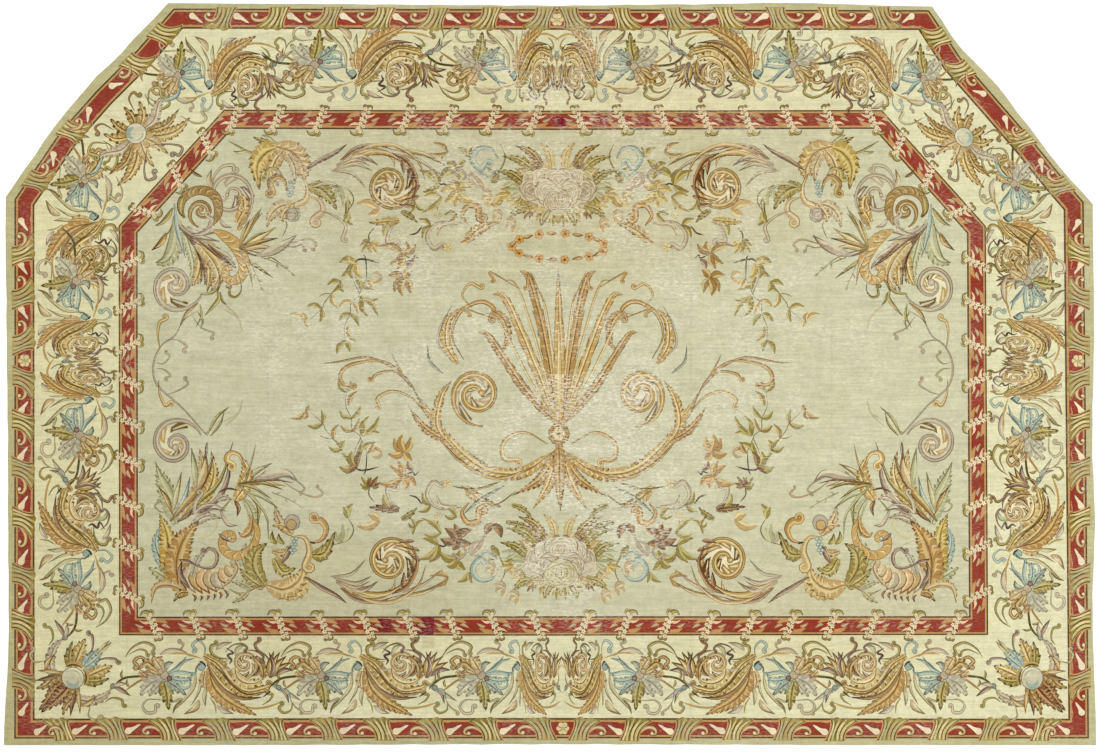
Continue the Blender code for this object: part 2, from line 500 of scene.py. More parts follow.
GUARD = whole_ring((278.3+4.9j, 87+4.4j, 68.3+25.3j, 48.3+45.2j, 30.8+65.3j, 16.8+85.3j, 7.1+99.5j,
                    7.1+369.2j, 281.2+369.2j))
INNER = whole_ring((278.7+55.2j, 112+55j, 59.3+113j, 59.4+317.6j, 280.8+317.6j))
print("outer band:", len(GUARD), "corners, inner band:", len(INNER), "corners")

# %% [markdown]
# Both red bands follow an outline with cut corners. Their thin edging lines are the same outline, moved
# inwards step by step, with each ring laid on the last. Moving along the corner's half angle keeps the
# corners sharp. To set a motif on a band, we also need the nearest place on its outline.

# %% Straight bands
GUARD_RINGS = ((0, "umber"), (0.8, "buff"), (1.7, "umber"), (2.0, "brick"), (8.2, "buff"), (9.2, "umber"),
               (10.1, "cream"))
INNER_RINGS = ((0, "umber"), (0.7, "buff"), (1.5, "umber"), (1.8, "brick"), (7.9, "buff"), (8.8, "umber"),
               (9.6, "field"))


def turning(points):
    """1 if the outline runs clockwise as drawn, with y down, or else -1."""
    p = np.array(points)
    return np.sign((np.conj(p) * np.roll(p, -1)).imag.sum())


def inset(points, distance):
    """The outline moved this far inwards, with its corners kept sharp."""
    p = np.array(points)
    before, after = p - np.roll(p, 1), np.roll(p, -1) - p
    before, after = before / abs(before), after / abs(after)
    inwards = turning(points) * 1j * (before + after) / 2
    return p + distance * inwards / abs(inwards) ** 2


def nearest(points, p):
    """The nearest place on an outline, and the directions along it and inwards there."""
    best = None
    for a, b in zip(points, np.roll(points, -1)):
        share = np.clip(((p - a) * np.conj(b - a)).real / abs(b - a) ** 2, 0, 1)
        at = a + share * (b - a)
        if best is None or abs(p - at) < abs(p - best[0]):
            best = (at, (b - a) / abs(b - a))
    at, along = best
    return at, along, turning(points) * 1j * along


def rings(points, steps):
    """The outline in one dye after another, each further in by its own distance."""
    return [(inset(points, distance), dye) for distance, dye in steps]


ground = rings(GUARD, GUARD_RINGS) + rings(INNER, INNER_RINGS)
print("ground:", len(ground), "patches")

# %% [markdown]
# The outer red band is crossed at even steps by a wrap of leaves, and each cell between two wraps holds a
# pale gourd and a hook. Both are drawn once, with x along the band and y inwards, so that place can set
# them anywhere.

# %% Motifs of the outer band
def wrap(dark):
    """A sheath of leaves across the band: narrow at its outer edge, spreading and swept back inwards."""
    body, light = ("olive_mid", "moss_light") if dark else ("moss_mid", "ash_leaf_mid")
    right = [2.8+11.0j, 2.4+8.6j, 3.0+5.6j, 4.1+2.6j, 5.8-1.2j]
    left = [-2.4-1.2j, -2.8+2.4j, -4.4+6.0j, -6.8+8.6j, -9.6+10.2j]
    sheath = np.array([*smooth(left, 3), -8.2+11.6j, -6.4+11.2j, -4.6+12.4j, -2.6+11.2j, -0.4+12.8j,
                       1.4+11.6j, *smooth(right, 3)])
    outwards = np.where(sheath.real > -1, 1, -1)
    patches = [(sheath + 1.3 * outwards, "buff"), (sheath + 0.55 * outwards, "umber"), (sheath, body)]
    strands = (
        ([-1.8-0.9j, -2.0+2.6j, -3.6+6.2j, -6.2+9.0j, -8.6+10.6j], (0.9, 1.3, 1.4, 1.2, 0.3), light),
        ([-0.6+0.0j, -1.0+3.2j, -2.8+7.0j, -5.8+9.8j], (0.2, 0.5, 0.6, 0.2), "umber"),
        ([0.3-0.9j, -0.2+3.4j, -1.9+7.4j, -4.6+11.2j], (0.8, 1.2, 1.3, 0.3),
         "gold_light" if dark else "tan_mid"),
        ([1.7+0.0j, 1.0+3.8j, -0.7+7.8j, -3.0+11.4j], (0.2, 0.5, 0.6, 0.2), "umber_leaf_dark"),
        ([2.9-0.9j, 2.0+3.8j, 0.3+7.8j, -1.4+12.0j], (0.8, 1.1, 1.1, 0.3), light),
        ([4.0+0.0j, 2.7+3.6j, 1.3+7.6j, 0.6+11.4j], (0.2, 0.45, 0.5, 0.2), "umber"),
        ([4.9-0.8j, 3.4+3.2j, 2.2+7.2j, 1.9+11.0j], (0.8, 1.0, 0.9, 0.2), "gold_light" if dark else light),
    )
    for spine, widths, dye in strands:
        patches.append((ribbon(smooth(spine, 3), widths), dye))
    return place(patches, 2, 1, 0.84j)


def gourd_and_hook(stretch):
    """What fills the red cell between two wraps. stretch fits it to the cell's length."""
    tail = smooth([5.6+3.2j, 7.0+3.8j, 9.0+4.8j, 10.8+6.0j, 12.4+6.9j], 3)
    blob = [(ribbon(tail, (3.2, 3.9, 2.6, 2.0, 1.7, 0.8)) - 0.1j, "hook_dark"),
            (disc(6.2+3.5j, 2.05, 9), "hook_dark"),
            (ribbon(tail, (2.8, 3.4, 2.0, 1.4, 1.2, 0.3)), "shell"), (disc(6.2+3.5j, 1.75, 9), "shell")]
    hook = smooth([23.6+0.9j, 21.6+3.6j, 18.8+5.6j, 15.6+5.6j, 13.7+4.0j, 14.0+2.4j, 15.6+2.0j], 3)
    hooks = [(ribbon(hook, (0.3, 1.3, 2.2, 2.2, 1.8, 1.5, 1.3)), "hook_dark"),
             (disc(15.9+2.6j, 1.35, 8), "hook_dark"),
             (ribbon(hook, (0.1, 0.8, 1.6, 1.6, 1.2, 0.9, 0.8), 0.2), "hook_mid"),
             (disc(15.9+2.6j, 0.9, 7), "buff_leaf_light"),
             (ribbon(hook[2:-3], (0.1, 0.4, 0.6, 0.4, 0.1), 0.8), "buff_leaf_light")]
    long_flame = smooth([15.4+8.6j, 18.0+7.8j, 20.4+7.4j, 22.6+5.6j], 3)
    short_flame = smooth([3.4+8.4j, 5.4+8.2j, 7.4+8.6j, 9.6+8.6j], 3)
    flames = [(ribbon(long_flame, (0.2, 0.9, 0.7, 0.1)), "buff"),
              (ribbon(short_flame, (0.2, 0.6, 0.5, 0.1)), "buff")]
    return place(blob + hooks + flames, 2.4, stretch + 0j)


print("wrap:", len(wrap(True)), "patches, cell:", len(gourd_and_hook(1)), "patches")

# %% [markdown]
# The cells run from the corners towards the middle of each side, where their direction turns. A long run is
# given by its first place and its step. The cells at the cuts and corners fit no run, so each has its own
# place.

# %% Outer band
CELL_LENGTH = 26.7


def guard_run(wraps, along_sign):
    """Wraps and cells at these places. Each is (place, dark), in the direction that the pattern runs."""
    patches = []
    for number, (p, dark) in enumerate(wraps):
        at, along, inner = nearest(GUARD, p)
        along = along * along_sign
        if number + 1 < len(wraps):
            gap = abs(wraps[number + 1][0] - p)
            patches += place(gourd_and_hook(gap / CELL_LENGTH), at, along, inner)
        patches += place(wrap(dark), at, along, inner)
    return patches


def evenly(start, step, count, dark_first=False):
    """The places of a long run, with dark and light wraps in turn."""
    return [(start + k * step, bool((k + dark_first) % 2)) for k in range(count)]


guard_half = []
top = evenly(109.7+4.6j, 26.6, 7)
left_upper = [(8+124.5j, True), (8+146.5j, False), (8+169.5j, False)]
left_lower = [(8+342.5j, False), (8+313j, True), (8+290j, False), (8+261.5j, True), (8+236.5j, False),
              (8+213j, True), (8+191.5j, False)]
bottom = evenly(29+369j, 26.75, 10, True)
guard_half += guard_run(top, -1)
guard_half += guard_run(left_upper, 1)
guard_half += guard_run(left_lower, -1)
guard_half += guard_run(bottom, 1)
# The wraps at the cut.
for p in (84+17j, 66+28j, 38.6+65.5j, 19.3+88.7j):
    at, along, inner = nearest(GUARD, p)
    guard_half += place(wrap(p.real > 30), at, along, inner)
# Lone cells, each by the place of its gourd's head: at the cut, and around the bottom corner.
for head, along_sign in (
        (93.5+7j, -1), (55+46j, -1), (47.5+54j, 1), (30.2+76.4j, 1), (11.6+107.3j, 1), (11+359j, -1),
        (15.5+363.5j, 1), (11+180.5j, 0), (278.3+10j, 0), (281.2+364j, 0),
):
    at, along, inner = nearest(GUARD, head)
    if along_sign:
        guard_half += place(gourd_and_hook(0.85), at - 5 * along * along_sign, along * along_sign, inner)
    else:
        guard_half += rosette(at + 5 * inner, 3.4, 6, "peach", "pink_mid")
print("guard half:", len(guard_half), "patches")

# %% [markdown]
# The wide border repeats one sprig: a blossom with leaves in six directions, two long plumes, and a bell
# with loose strands. The weavers worked it from one drawing, turned for each side. We do the same, with the
# flower at 0, x along the border and y towards the field.

# %% One repeat of the border
def fan(points, width, family):
    """Leaves that spread from the first point to the others."""
    base, *tips = points
    patches = []
    for tip in tips:
        bend = (base + tip) / 2 + 0.08j * (tip - base)
        patches += leaf([base, bend, tip], width, family, 3, 0.4)
    return patches


border_repeat = drawn(
    (band, 1.2, "olive_dark", -26.3-6.8j, -23-3.5j, -19.2-1.4j, -13-0.6j, -6-0.2j),
    (band, 1.1, "rust_mid", -19.2-7.9j, -15.4-5.1j, -11.1-2.4j, -5-1.2j),
    (leaf, 1.4, "olive", -21-2.5j, -21.6+0.4j, -21+2.6j),
    (leaf, 1.4, "rust", -17.6-6j, -18.6-4j, -18.4-2.2j),
    (curl, 1.5, "olive", -19.8+9j, -16.5+13.6j, -10.6+16.4j, -5.4+14.2j, -6.4+11.4j),
    (curl, 1.2, "moss", -18+10.5j, -13+12.8j, -9.5+12j, -9+10j),
    (curl, 1.9, "rust", -9.5+3.4j, -8.8+7.2j, -12.5+9.2j, -15.4+7j, -13.6+5j),
    (curl, 1.6, "lilac", -2-12.6j, -8-12.4j, -10.8-15.6j, -8.4-19j, -4.4-18.6j, -4.2-15.8j),
    (curl, 1.2, "ash_leaf", -3-12.3j, 3-13.4j, 5.6-13j, 8-12j),
    (curl, 1.2, "lilac", 2.4+11.4j, 7.6+12.8j, 9.4+15.6j, 7.4+16.2j),
    (curl, 1.5, "blue", 20+9.5j, 20.2+14j, 17+17.3j, 13.8+15j, 15.6+12.8j),
    (leaf, 1.9, "ash_leaf", 15.6+1.9j, 14.6-6j, 9.6-12.6j, 5-17.6j),
    (leaf, 1.5, "ash_leaf", 18-0.8j, 17.4-8j, 13.6-15j),
    (leaf, 3.4, "pink", 17.4-12.4j, 15.4-16.4j, 10-19.6j),
    (band, 1.1, "ash_leaf_dark", 8.6-12.4j, 5.6-15.6j, 4.4-19.4j),
)
# The blossom, with its leaves in six directions.
border_repeat += drawn(
    (frond, 5, "tan", -12.6+1.8j, -8-1j, -5.4+6.2j, -1+9.4j),
    (frond, 6.4, "rust", -1.6+0.5j, -5.4+4.4j, -9+6.4j, -13.4+2.6j),
    (frond, 5, "tan", -1+2.5j, -3.4+6.4j, -6+9.6j),
    (fan, 2, "tan", -2.2+0.6j, -12.6-0.4j, -11.4+1.8j, -9.6+4.2j),
    (frond, 7.6, "grey", -1.4-1.6j, -6-3.6j, -9.4-6.6j, -12-10.6j),
    (frond, 5, "grey", -0.6-2j, -4-6.8j, -8-11j),
    (frond, 7.2, "olive", -0.2-3.2j, 1.2-9j, 2.2-18j),
    (frond, 5.6, "steel", 1.6-3j, 6-6j, 10.8-10.2j),
    (leaf, 2.3, "blue", 1+0.6j, 5.4+2.6j, 9.6+6.6j, 14.8+8.4j),
    (leaf, 2, "blue", 0.6+0.4j, 6.6+3.2j, 11+9.4j),
    (leaf, 2.2, "blue", 1, 7.6+1.2j, 14.4+0.4j, 16.4+2.8j),
    (frond, 3.6, "blue", 2-1j, 6.6-2.8j, 12-2.6j, 13.8+0.6j),
    (curl, 1.7, "blue", 12.4-1j, 12.8-5.4j, 9.2-6.6j, 7.6-4j),
    (leaf, 2.6, "lilac", -2.4+10.2j, 2.5+12.4j, 8.5+11.8j, 13.4+9.4j),
    (band, 0.9, "gold_mid", 2+10.6j, 10+10.9j, 18.7+8.2j),
    (leaf, 3, "steel", 0.5+2j, 1.6+5.4j, 4.4+6.2j),
    (bead, 2.4, "lilac", 0),
    (bead, 1.5, "mauve", 2.6-1.6j),
    (bead, 1.6, "pink", -2+1.8j),
    (leaf, 1.1, "mauve", -2.2-6j, -2.6-8j, -1.6-10.6j),
)
# The knot where the two plumes start.
border_repeat += drawn(
    (bead, 2.3, "blue", 18.4+4.4j),
    (band, 0.8, "steel_dark", 15.4+2j, 16.2+4.2j, 18.6+6j),
    (band, 1, "ink", 17.4+7j, 19.2+6.2j, 20.8+4.2j),
)
# The gold plumes, which sweep down and up again.
border_repeat += drawn(
    (frond, 4.4, "tan", 20.2+1.9j, 19.4-3.5j, 21.3-9j),
    (leaf, 2.4, "ash_leaf", 20.8-6.3j, 20-11j, 20.6-15.6j),
    (leaf, 2.9, "lilac", 26.2-15.4j, 30-18j, 34.6-19.2j),
    (band, 0.9, "olive_mid", 22.4-6.9j, 24.2-11j, 29-14.6j),
    (band, 0.9, "moss_mid", 22.8-11.2j, 25.2-15j, 25.8-19.2j),
    (band, 1.1, "gold_mid", 36-14.4j, 44-16.4j, 52-15.6j, 59-13.2j),
    (curl, 1.3, "moss", 48.6-14.8j, 52.4-12.6j, 54-9.8j, 51.6-9.4j),
    (band, 0.8, "ink", 49-11j, 51.6-9j, 53-8j),
    (frond, 7.6, "copper", 22.2+3.5j, 24.6-5.6j, 30.2-12.2j, 38.6-16.8j, 46-20.2j),
    (leaf, 3.4, "umber_leaf", 21.3+5.4j, 26.2-3j, 31.6-8.6j, 39.7-11.6j, 48.4-11j),
    (leaf, 2, "peach", 21+6.4j, 26.8-1.8j, 32.2-7.2j, 40-10.2j, 49-9.4j),
    (frond, 6.8, "gold", 19.4+9.6j, 26.8+5.2j, 33.2-3.4j, 41-8.2j, 50.4-6.6j, 53.4-3.6j),
    (band, 0.8, "rust_dark", 22.6+6.6j, 28.4+1.6j, 33.6-4.8j, 41.2-9.4j, 50.8-8.2j),
    (band, 1, "rust_mid", 23+2j, 27-5.2j, 33-11j, 40.6-15.4j),
    (band, 1, "rust_mid", 22+9.2j, 29+5.2j, 35-2.2j, 42-6.8j, 50-5.4j),
    (band, 0.9, "grey_mid", 28+4.2j, 31.6+2.4j, 36+3.6j),
)
# The rolled head above the plumes.
border_repeat += drawn(
    (leaf, 2.4, "sage", 35.8+9j, 37+13.4j, 41+15j),
)
border_repeat += whorl(40+5.6j, (8.4, 7.4, 6.4, 5.6, 4.6, 3.4, 2.2, 1.4), 215, 1, 1.6, "tan", 9, "rust")
border_repeat += drawn(
    (frond, 5.4, "straw", 35.2+3.4j, 36.4-1.4j, 41-4.2j, 46.8-3.6j, 50.4-0.2j),
    (frond, 4.6, "rust", 49.2-2.4j, 49.4+3.4j, 46.4+7.8j, 42.4+8.6j),
    (leaf, 2, "umber_leaf", 44-0.6j, 47+1.2j, 47.4+5j),
    (curl, 1.1, "mauve", 30.4+11.2j, 33.8+14.6j, 38.6+15.6j, 41.4+13.6j, 40.2+12.4j),
    (band, 1.2, "mauve_dark", 31+13.3j, 34.6+11j, 31.6+9.8j, 33.6+7.4j, 32.6+5.2j),
    (leaf, 2.6, "lilac", 25.8+12.4j, 28.8+15j, 33.8+16.4j),
    (curl, 1.6, "olive", 32.4+7.9j, 27.4+8.4j, 23.6+10.8j, 23.4+14.2j, 25.8+15j),
    (band, 0.9, "moss_mid", 24.2+8.4j, 28+6.4j, 32+7j),
)
# The bell with its spread of strands, and the sprays under it.
border_repeat += drawn(
    (curl, 1.5, "umber_leaf", 53.4+6.6j, 50.6+10j, 47+12.2j, 45.4+15.2j, 47.8+16.8j),
    (curl, 1.3, "mauve", 41.6+12.4j, 45.6+12j, 49.4+9.4j, 48.6+7.4j),
    (fan, 3.3, "gold", 52.8-1.4j, 63.4+6.4j, 61+9.4j, 58+11.4j, 55+11.8j),
    (leaf, 2.6, "mauve", 52.8-1.4j, 54.8+4.6j, 52.4+11.4j),
    (leaf, 2.9, "mauve", 55-0.4j, 59.6+2.4j, 64.6+2.4j),
    (curl, 1.5, "rust", 57+0.8j, 57-2.4j, 54.8-4.8j, 52.6-3.2j),
    (leaf, 2.4, "steel", 53.2-4.6j, 58-7.4j, 61.6-9.6j),
    (leaf, 2, "mauve", 57.4-6.2j, 60.6-9.6j, 62-14j),
    (leaf, 2, "lilac", 59-7j, 63.4-10.2j, 68-12.8j),
    (leaf, 1.3, "blue", 57-6.4j, 61.6-8j, 63-13j),
    (bead, 1.5, "steel", 57-6.2j),
    (curl, 1.4, "moss", 63.6-13.4j, 63-17.4j, 59.4-18.8j, 57.2-16.4j, 59-15j),
    (curl, 1, "ash_leaf", 62.6-12j, 65-16j, 68.6-18.4j),
)
print("border repeat:", len(border_repeat), "patches")

# %% [markdown]
# Each side has its own room for the repeats. Where there is enough, the whole motif is scaled a little.
# Where there isn't, its far end is drawn closer together, as a weaver would do at a corner.

# %% Border
REPEAT_ROOM = 80
SHORT_ROOM = 60
REACH = 53.4
KNOT = 18
STRAY = 8


def squeezed(motif, start, end):
    """The motif with everything past start drawn closer together, so that it reaches only to end."""
    share = (end - start) / (REACH - start)
    out = []
    for outline, dye in motif:
        # A leaf that strays far past the motif's end would lie over the next one.
        if outline.real.max() > REACH + STRAY:
            continue
        x = outline.real
        out.append((np.where(x > start, start + (x - start) * share, x) + 1j * outline.imag, dye))
    return out


border_half = []
flowers = (
    (82.25+337.5j, 1, -1j, 80), (160.5+337.5j, 1, -1j, 80), (240.75+337.5j, 1, -1j, 37.5),
    (89+38j, 1, 1j, 68), (157.5+32.5j, 1, 1j, 81), (239+33.5j, 1, 1j, 38.5),
    (42.5+90j, 1j, 1, 50), (38.25+140.5j, 1j, 1, 39.5), (40+217.5j, -1j, 1, 36), (39+294.5j, -1j, 1, 77),
)
for flower, along, inner, room in flowers:
    motif = border_repeat
    if room < SHORT_ROOM:
        motif = squeezed(motif, KNOT, room - 1)
    else:
        motif = place(motif, 0, room / REPEAT_ROOM + 0j)
    border_half += place(motif, flower, along, inner)
print("border half:", len(border_half), "patches")

# %% [markdown]
# At the bottom corners a large palmette turns the border, and at the cut corners a rosette does. Both are
# symmetric, so we draw one half and mirror it. A round pale fruit covers the middle, where the leaves meet.

# %% Turns of the border
corner_palmette = drawn(
    (frond, 5.2, "lilac", 6+4j, 3.9+12.4j, -3.9+17.3j, -11+17j),
    (leaf, 2.4, "gold", 7+13j, 3+14.6j, -2+15j),
    (frond, 6.6, "gold", -4.6+3.9j, -12.4+7.4j, -18.7+9.5j),
    (frond, 4.4, "olive", -3+5j, -7+9.6j, -13+13j),
    (frond, 4.6, "blue", -8+0.6j, -14+1.5j, -20+1j),
    (leaf, 2, "ash_leaf", -17+0.4j, -22+0.8j, -26.5+0.6j),
    (curl, 1.5, "mauve", -13.8+2.4j, -18+4.2j, -21.6+8j, -21+10j),
    (bead, 1.5, "steel", -11.3+17j),
    (leaf, 2.4, "mauve", -11.3+17j, -13+22j, -14.1+26.9j),
    (leaf, 2.4, "lilac", -11.3+17j, -14.6+19j, -17+21.2j),
    (curl, 1.4, "moss", -3+20j, -7+21j, -9.6+25j, -8+27.6j),
    (curl, 1.4, "ash_leaf", 4+16j, 8+19j, 7+23j, 4+23.4j),
    (frond, 7.6, "deep", 1.5+1j, 8+1.4j, 15+1.2j, 23.5+0.6j),
    (frond, 5.4, "rust", 0.6+3.6j, 6+6.4j, 12+7j, 16.6+9.4j),
    (leaf, 2.6, "umber_leaf", 3+5j, 9+8.6j, 14+12.4j),
    (leaf, 2.2, "peach", 2.4+6j, 6+10.6j, 10+15j),
)
corner_palmette += [(arc(0, 7.6, 110, 68, (0.3, 1.5, 1.7, 0.6)), "gold_mid"),
                    (arc(0, 6.7, 100, 78, (0.2, 0.9, 0.9, 0.4)), "olive_dark")]


turn_rosette = drawn(
    (frond, 5, "rust", 2+2j, 8+4j, 14+4.4j),
    (frond, 5.2, "gold", 1+4j, 5+9j, 11+12j),
    (frond, 5.4, "lilac", -1+4j, -1+11j, 3+18j, 4+24j),
    (frond, 7, "gold", -4+3j, -9+8j, -13+16j, -13+25j),
    (frond, 4.6, "rust", -3+5j, -7+14j, -6+24j),
    (frond, 6, "tan", -4+1j, -10+3.6j, -19+4.6j),
    (curl, 1.6, "mauve", -10+2j, -16+9j, -21+12j, -23+8j, -20.4+7j),
    (curl, 1.7, "moss", 6+14j, 11+19j, 9+24j, 5+22j),
    (curl, 1.4, "rust", 9+7j, 15+9j, 16+13j, 13+13.4j),
    (curl, 1.5, "ash_leaf", -9+22j, -17+25j, -19+30j, -15+31j),
    (leaf, 2.4, "blue", 3+20j, 27j, 2+33j),
)


def mirrored(half):
    """A motif and its own mirror image across its x axis."""
    return half + place(half, 0, 1, -1j)


def ball(centre, radius):
    """A round fruit: pale, with a blue shade on one side and thin cream arcs on the other."""
    patches = [(disc(centre, radius, 18), "gold_dark"), (disc(centre, radius - 0.35, 18), "grey_light")]
    patches += [(disc(centre + radius * (0.3 - 0.28j), radius * 0.56, 14), "blue_mid"),
                (disc(centre, radius * 0.5, 12), "grey_light")]
    for k in range(3):
        patches.append((arc(centre, radius * (0.82 - 0.17 * k), 100 + 20 * k, 130 - 30 * k,
                            (0.1, 0.5, 0.5, 0.1)), ("bone", "grey_mid")[k % 2]))
    return patches


diagonal = np.exp(0.75j * np.pi)
cut = np.exp(-0.74j * np.pi)
turns_half = place(mirrored(corner_palmette), 36.5+339j, diagonal, diagonal * 1j)
turns_half += place(ball(0, 5.8), 36.5+339j, diagonal, diagonal * 1j)
turns_half += place(mirrored(turn_rosette), 68+66.5j, cut, cut * 1j)
turns_half += place(ball(0, 5.4), 68+66.5j, cut, cut * 1j)
print("turns half:", len(turns_half), "patches")

# %% [markdown]
# Slanting chains of small white flowers cross the inner red band, with flames on both sides and a hook at
# each end. The chain is uneven on purpose: each flower has its own size, and every star is turned a step
# further.

# %% Inner band
chain = []
for sign, middle in ((1, 0), (-1, 9.6)):
    for spine, widths, dye in (
            ([1.0+7.5j, 3.2+7.6j, 5.4+7.0j, 7.6+6.0j], (1.2, 2.1, 1.7, 0.1), "buff"),
            ([4.4+5.0j, 5.8+5.2j, 7.2+4.6j, 8.8+3.6j], (0.1, 1.5, 1.2, 0.1), "pink_mid"),
            ([2.0+2.6j, 3.2+3.1j, 4.8+2.9j, 6.6+1.9j], (0.5, 1.5, 0.9, 0.1), "buff_leaf_light"),
    ):
        chain += place([(ribbon(smooth(spine, 3), widths), dye)], 1j * middle, sign, 1j * sign)
chain += drawn(
    (curl, 1.4, "olive", 4.8-0.1j, 5-1.5j, 3.6-2j, 2.4-1.2j),
    (curl, 2, "olive", -6+9.9j, -5+11.6j, -3+11.8j, -1.8+10.8j),
)
STARS = ((1.9-0.6j, 1.4), (3.4+1.0j, 1.1), (0.9+1.9j, 1.5), (2.5+3.3j, 1.2), (-0.1+4.3j, 1.5),
         (1.4+5.5j, 1.2), (-0.9+6.6j, 1.5), (0.6+7.9j, 1.2), (-1.9+8.7j, 1.4), (-1.1+10.4j, 1.3),
         (-3.2+9.9j, 0.9))
for k, (at, size) in enumerate(STARS):
    angle = np.linspace(0, 2 * np.pi, 10, endpoint=False) + k
    star = at + size * np.where(np.arange(10) % 2, 0.52, 1.0) * np.exp(1j * angle)
    chain += [(at + (star - at) * 1.16, "moss_mid"), (star, "bone" if k % 3 else "shell"),
              (disc(at, 0.26, 5), "moss_dark")]


chains_half = []
spots = [(278.3 - 11.5 - 21.45 * k + 55.2j, 1) for k in range(8)]
spots += [(280.8 - 12.5 - 21.35 * k + 317.6j, 1) for k in range(10)]
spots += [(59.3 + 1j * y, 1j) for y in (131.5, 152.5, 172.7)]
spots += [(59.3 + 1j * y, -1j) for y in (190.5, 211, 230.5, 252.5, 274.5, 298)]
spots += [(103+72j, 1-1.1j), (88+88j, 1-1.1j), (72.2+105j, -1+1.1j)]
for p, way in spots:
    at, along, inner = nearest(INNER, p)
    along = along * np.sign((along * np.conj(way)).real)
    chains_half += place(chain, at, along, inner)
print("chains half:", len(chains_half), "patches")

# %% [markdown]
# The spray in the upper left of the field has rolled acanthus, a ripe fruit in its husk, and grasses. What
# lies at the back is drawn first: the leaves that hang down, then the rolls, and the fruit last.

# %% Upper cluster
upper_cluster = drawn(
    (frond, 7.4, "sage", 89+110j, 88+121j, 84.4+130j, 78+132.6j),
    (frond, 8.6, "gold", 95+116j, 101+124j, 105+135j, 103.4+146j),
    (frond, 5.4, "sage", 92+114j, 95+124j, 97+134j, 94+145j),
    (leaf, 2.6, "ash_leaf", 94+113j, 104+122j, 113+132j, 116+144j),
    (leaf, 3, "sage", 119+124j, 124.6+113j, 131+106.4j),
    (leaf, 3.2, "ochre_pale", 119+125j, 129+119.4j, 138+113.6j),
    (leaf, 2.6, "tan", 119+126j, 130+123j, 141+125.4j),
    (leaf, 2.2, "olive", 118+126j, 127+132j, 137+139j),
    (leaf, 4.6, "sage", 87.3+108j, 86.6+120j, 83+129j, 77.6+131.6j),
    (leaf, 2.6, "olive", 86.6+104j, 84.4+108j, 81+111.6j, 77.6+113j),
    (band, 0.6, "moss_dark", 86.5+112j, 84.4+116j, 82.6+118j),
    (leaf, 3.2, "rust", 83.4+116.6j, 80.6+121.6j, 75.6+125.4j),
    (leaf, 2.4, "blue", 87.4+102j, 88.4+112j, 90.4+121j, 92.6+129j),
    (frond, 6.4, "gold", 99.6+124.7j, 100.4+132.3j, 98.6+139j, 95.8+142.6j),
    (leaf, 1.8, "umber_leaf", 89.7+113.4j, 95.7+120.3j, 99.6+127.2j, 100.9+134.2j, 100.1+142j),
    (leaf, 2.8, "umber_leaf", 91+112.4j, 98+121j, 101+129.6j, 102.4+137j),
    (frond, 9.4, "tan", 97.9+121.2j, 103.5+124.7j, 108.3+130.7j, 109.6+138.5j, 105.3+145.4j),
    (leaf, 3, "gold", 99.6+121.6j, 107.4+129j, 110.8+138j, 109.2+145.4j),
    (leaf, 2.1, "mauve", 102.4+134.6j, 102.9+138j, 102.2+142.6j),
    (leaf, 1.6, "moss", 99.8+147j, 104+146.6j, 108+145j, 111+140j),
    (leaf, 2.2, "moss", 108.6+145j, 109.8+149j, 106+154j, 102.4+158j),
    (leaf, 1.3, "olive", 110.2+146j, 111.4+150.4j, 113.4+152.4j),
    (leaf, 3, "lilac", 89.2+112.4j, 98.6+117.6j, 110+120.6j),
    (leaf, 2.4, "lilac", 91.6+113.4j, 100+116.6j, 109+116j),
    (leaf, 1.4, "umber_leaf", 93+116.6j, 101.6+121.6j, 110+128.6j, 118.6+134.2j),
)
upper_cluster += ribbed([106.6+115.1j, 112.2+117.7j, 118.2+122.9j, 122.1+130.7j, 121.3+136.8j, 117.4+140.2j,
                         113+138.5j, 113+134.2j, 116.5+133.6j],
                         (0.8, 4.8, 6.4, 5.4, 4.6, 4.2, 3.6, 3.0, 2.0), "amber", 15)
upper_cluster += drawn(
    (leaf, 2.6, "lilac", 100+120j, 108+124.6j, 114.4+128j, 118.6+134j),
    (leaf, 1.6, "umber_leaf", 104+122j, 111+127.6j, 118.4+134.4j),
    (curl, 1.3, "olive", 120.4+139.6j, 120.6+145.4j, 117.8+148.6j, 114.8+147.4j, 115+143.4j),
)
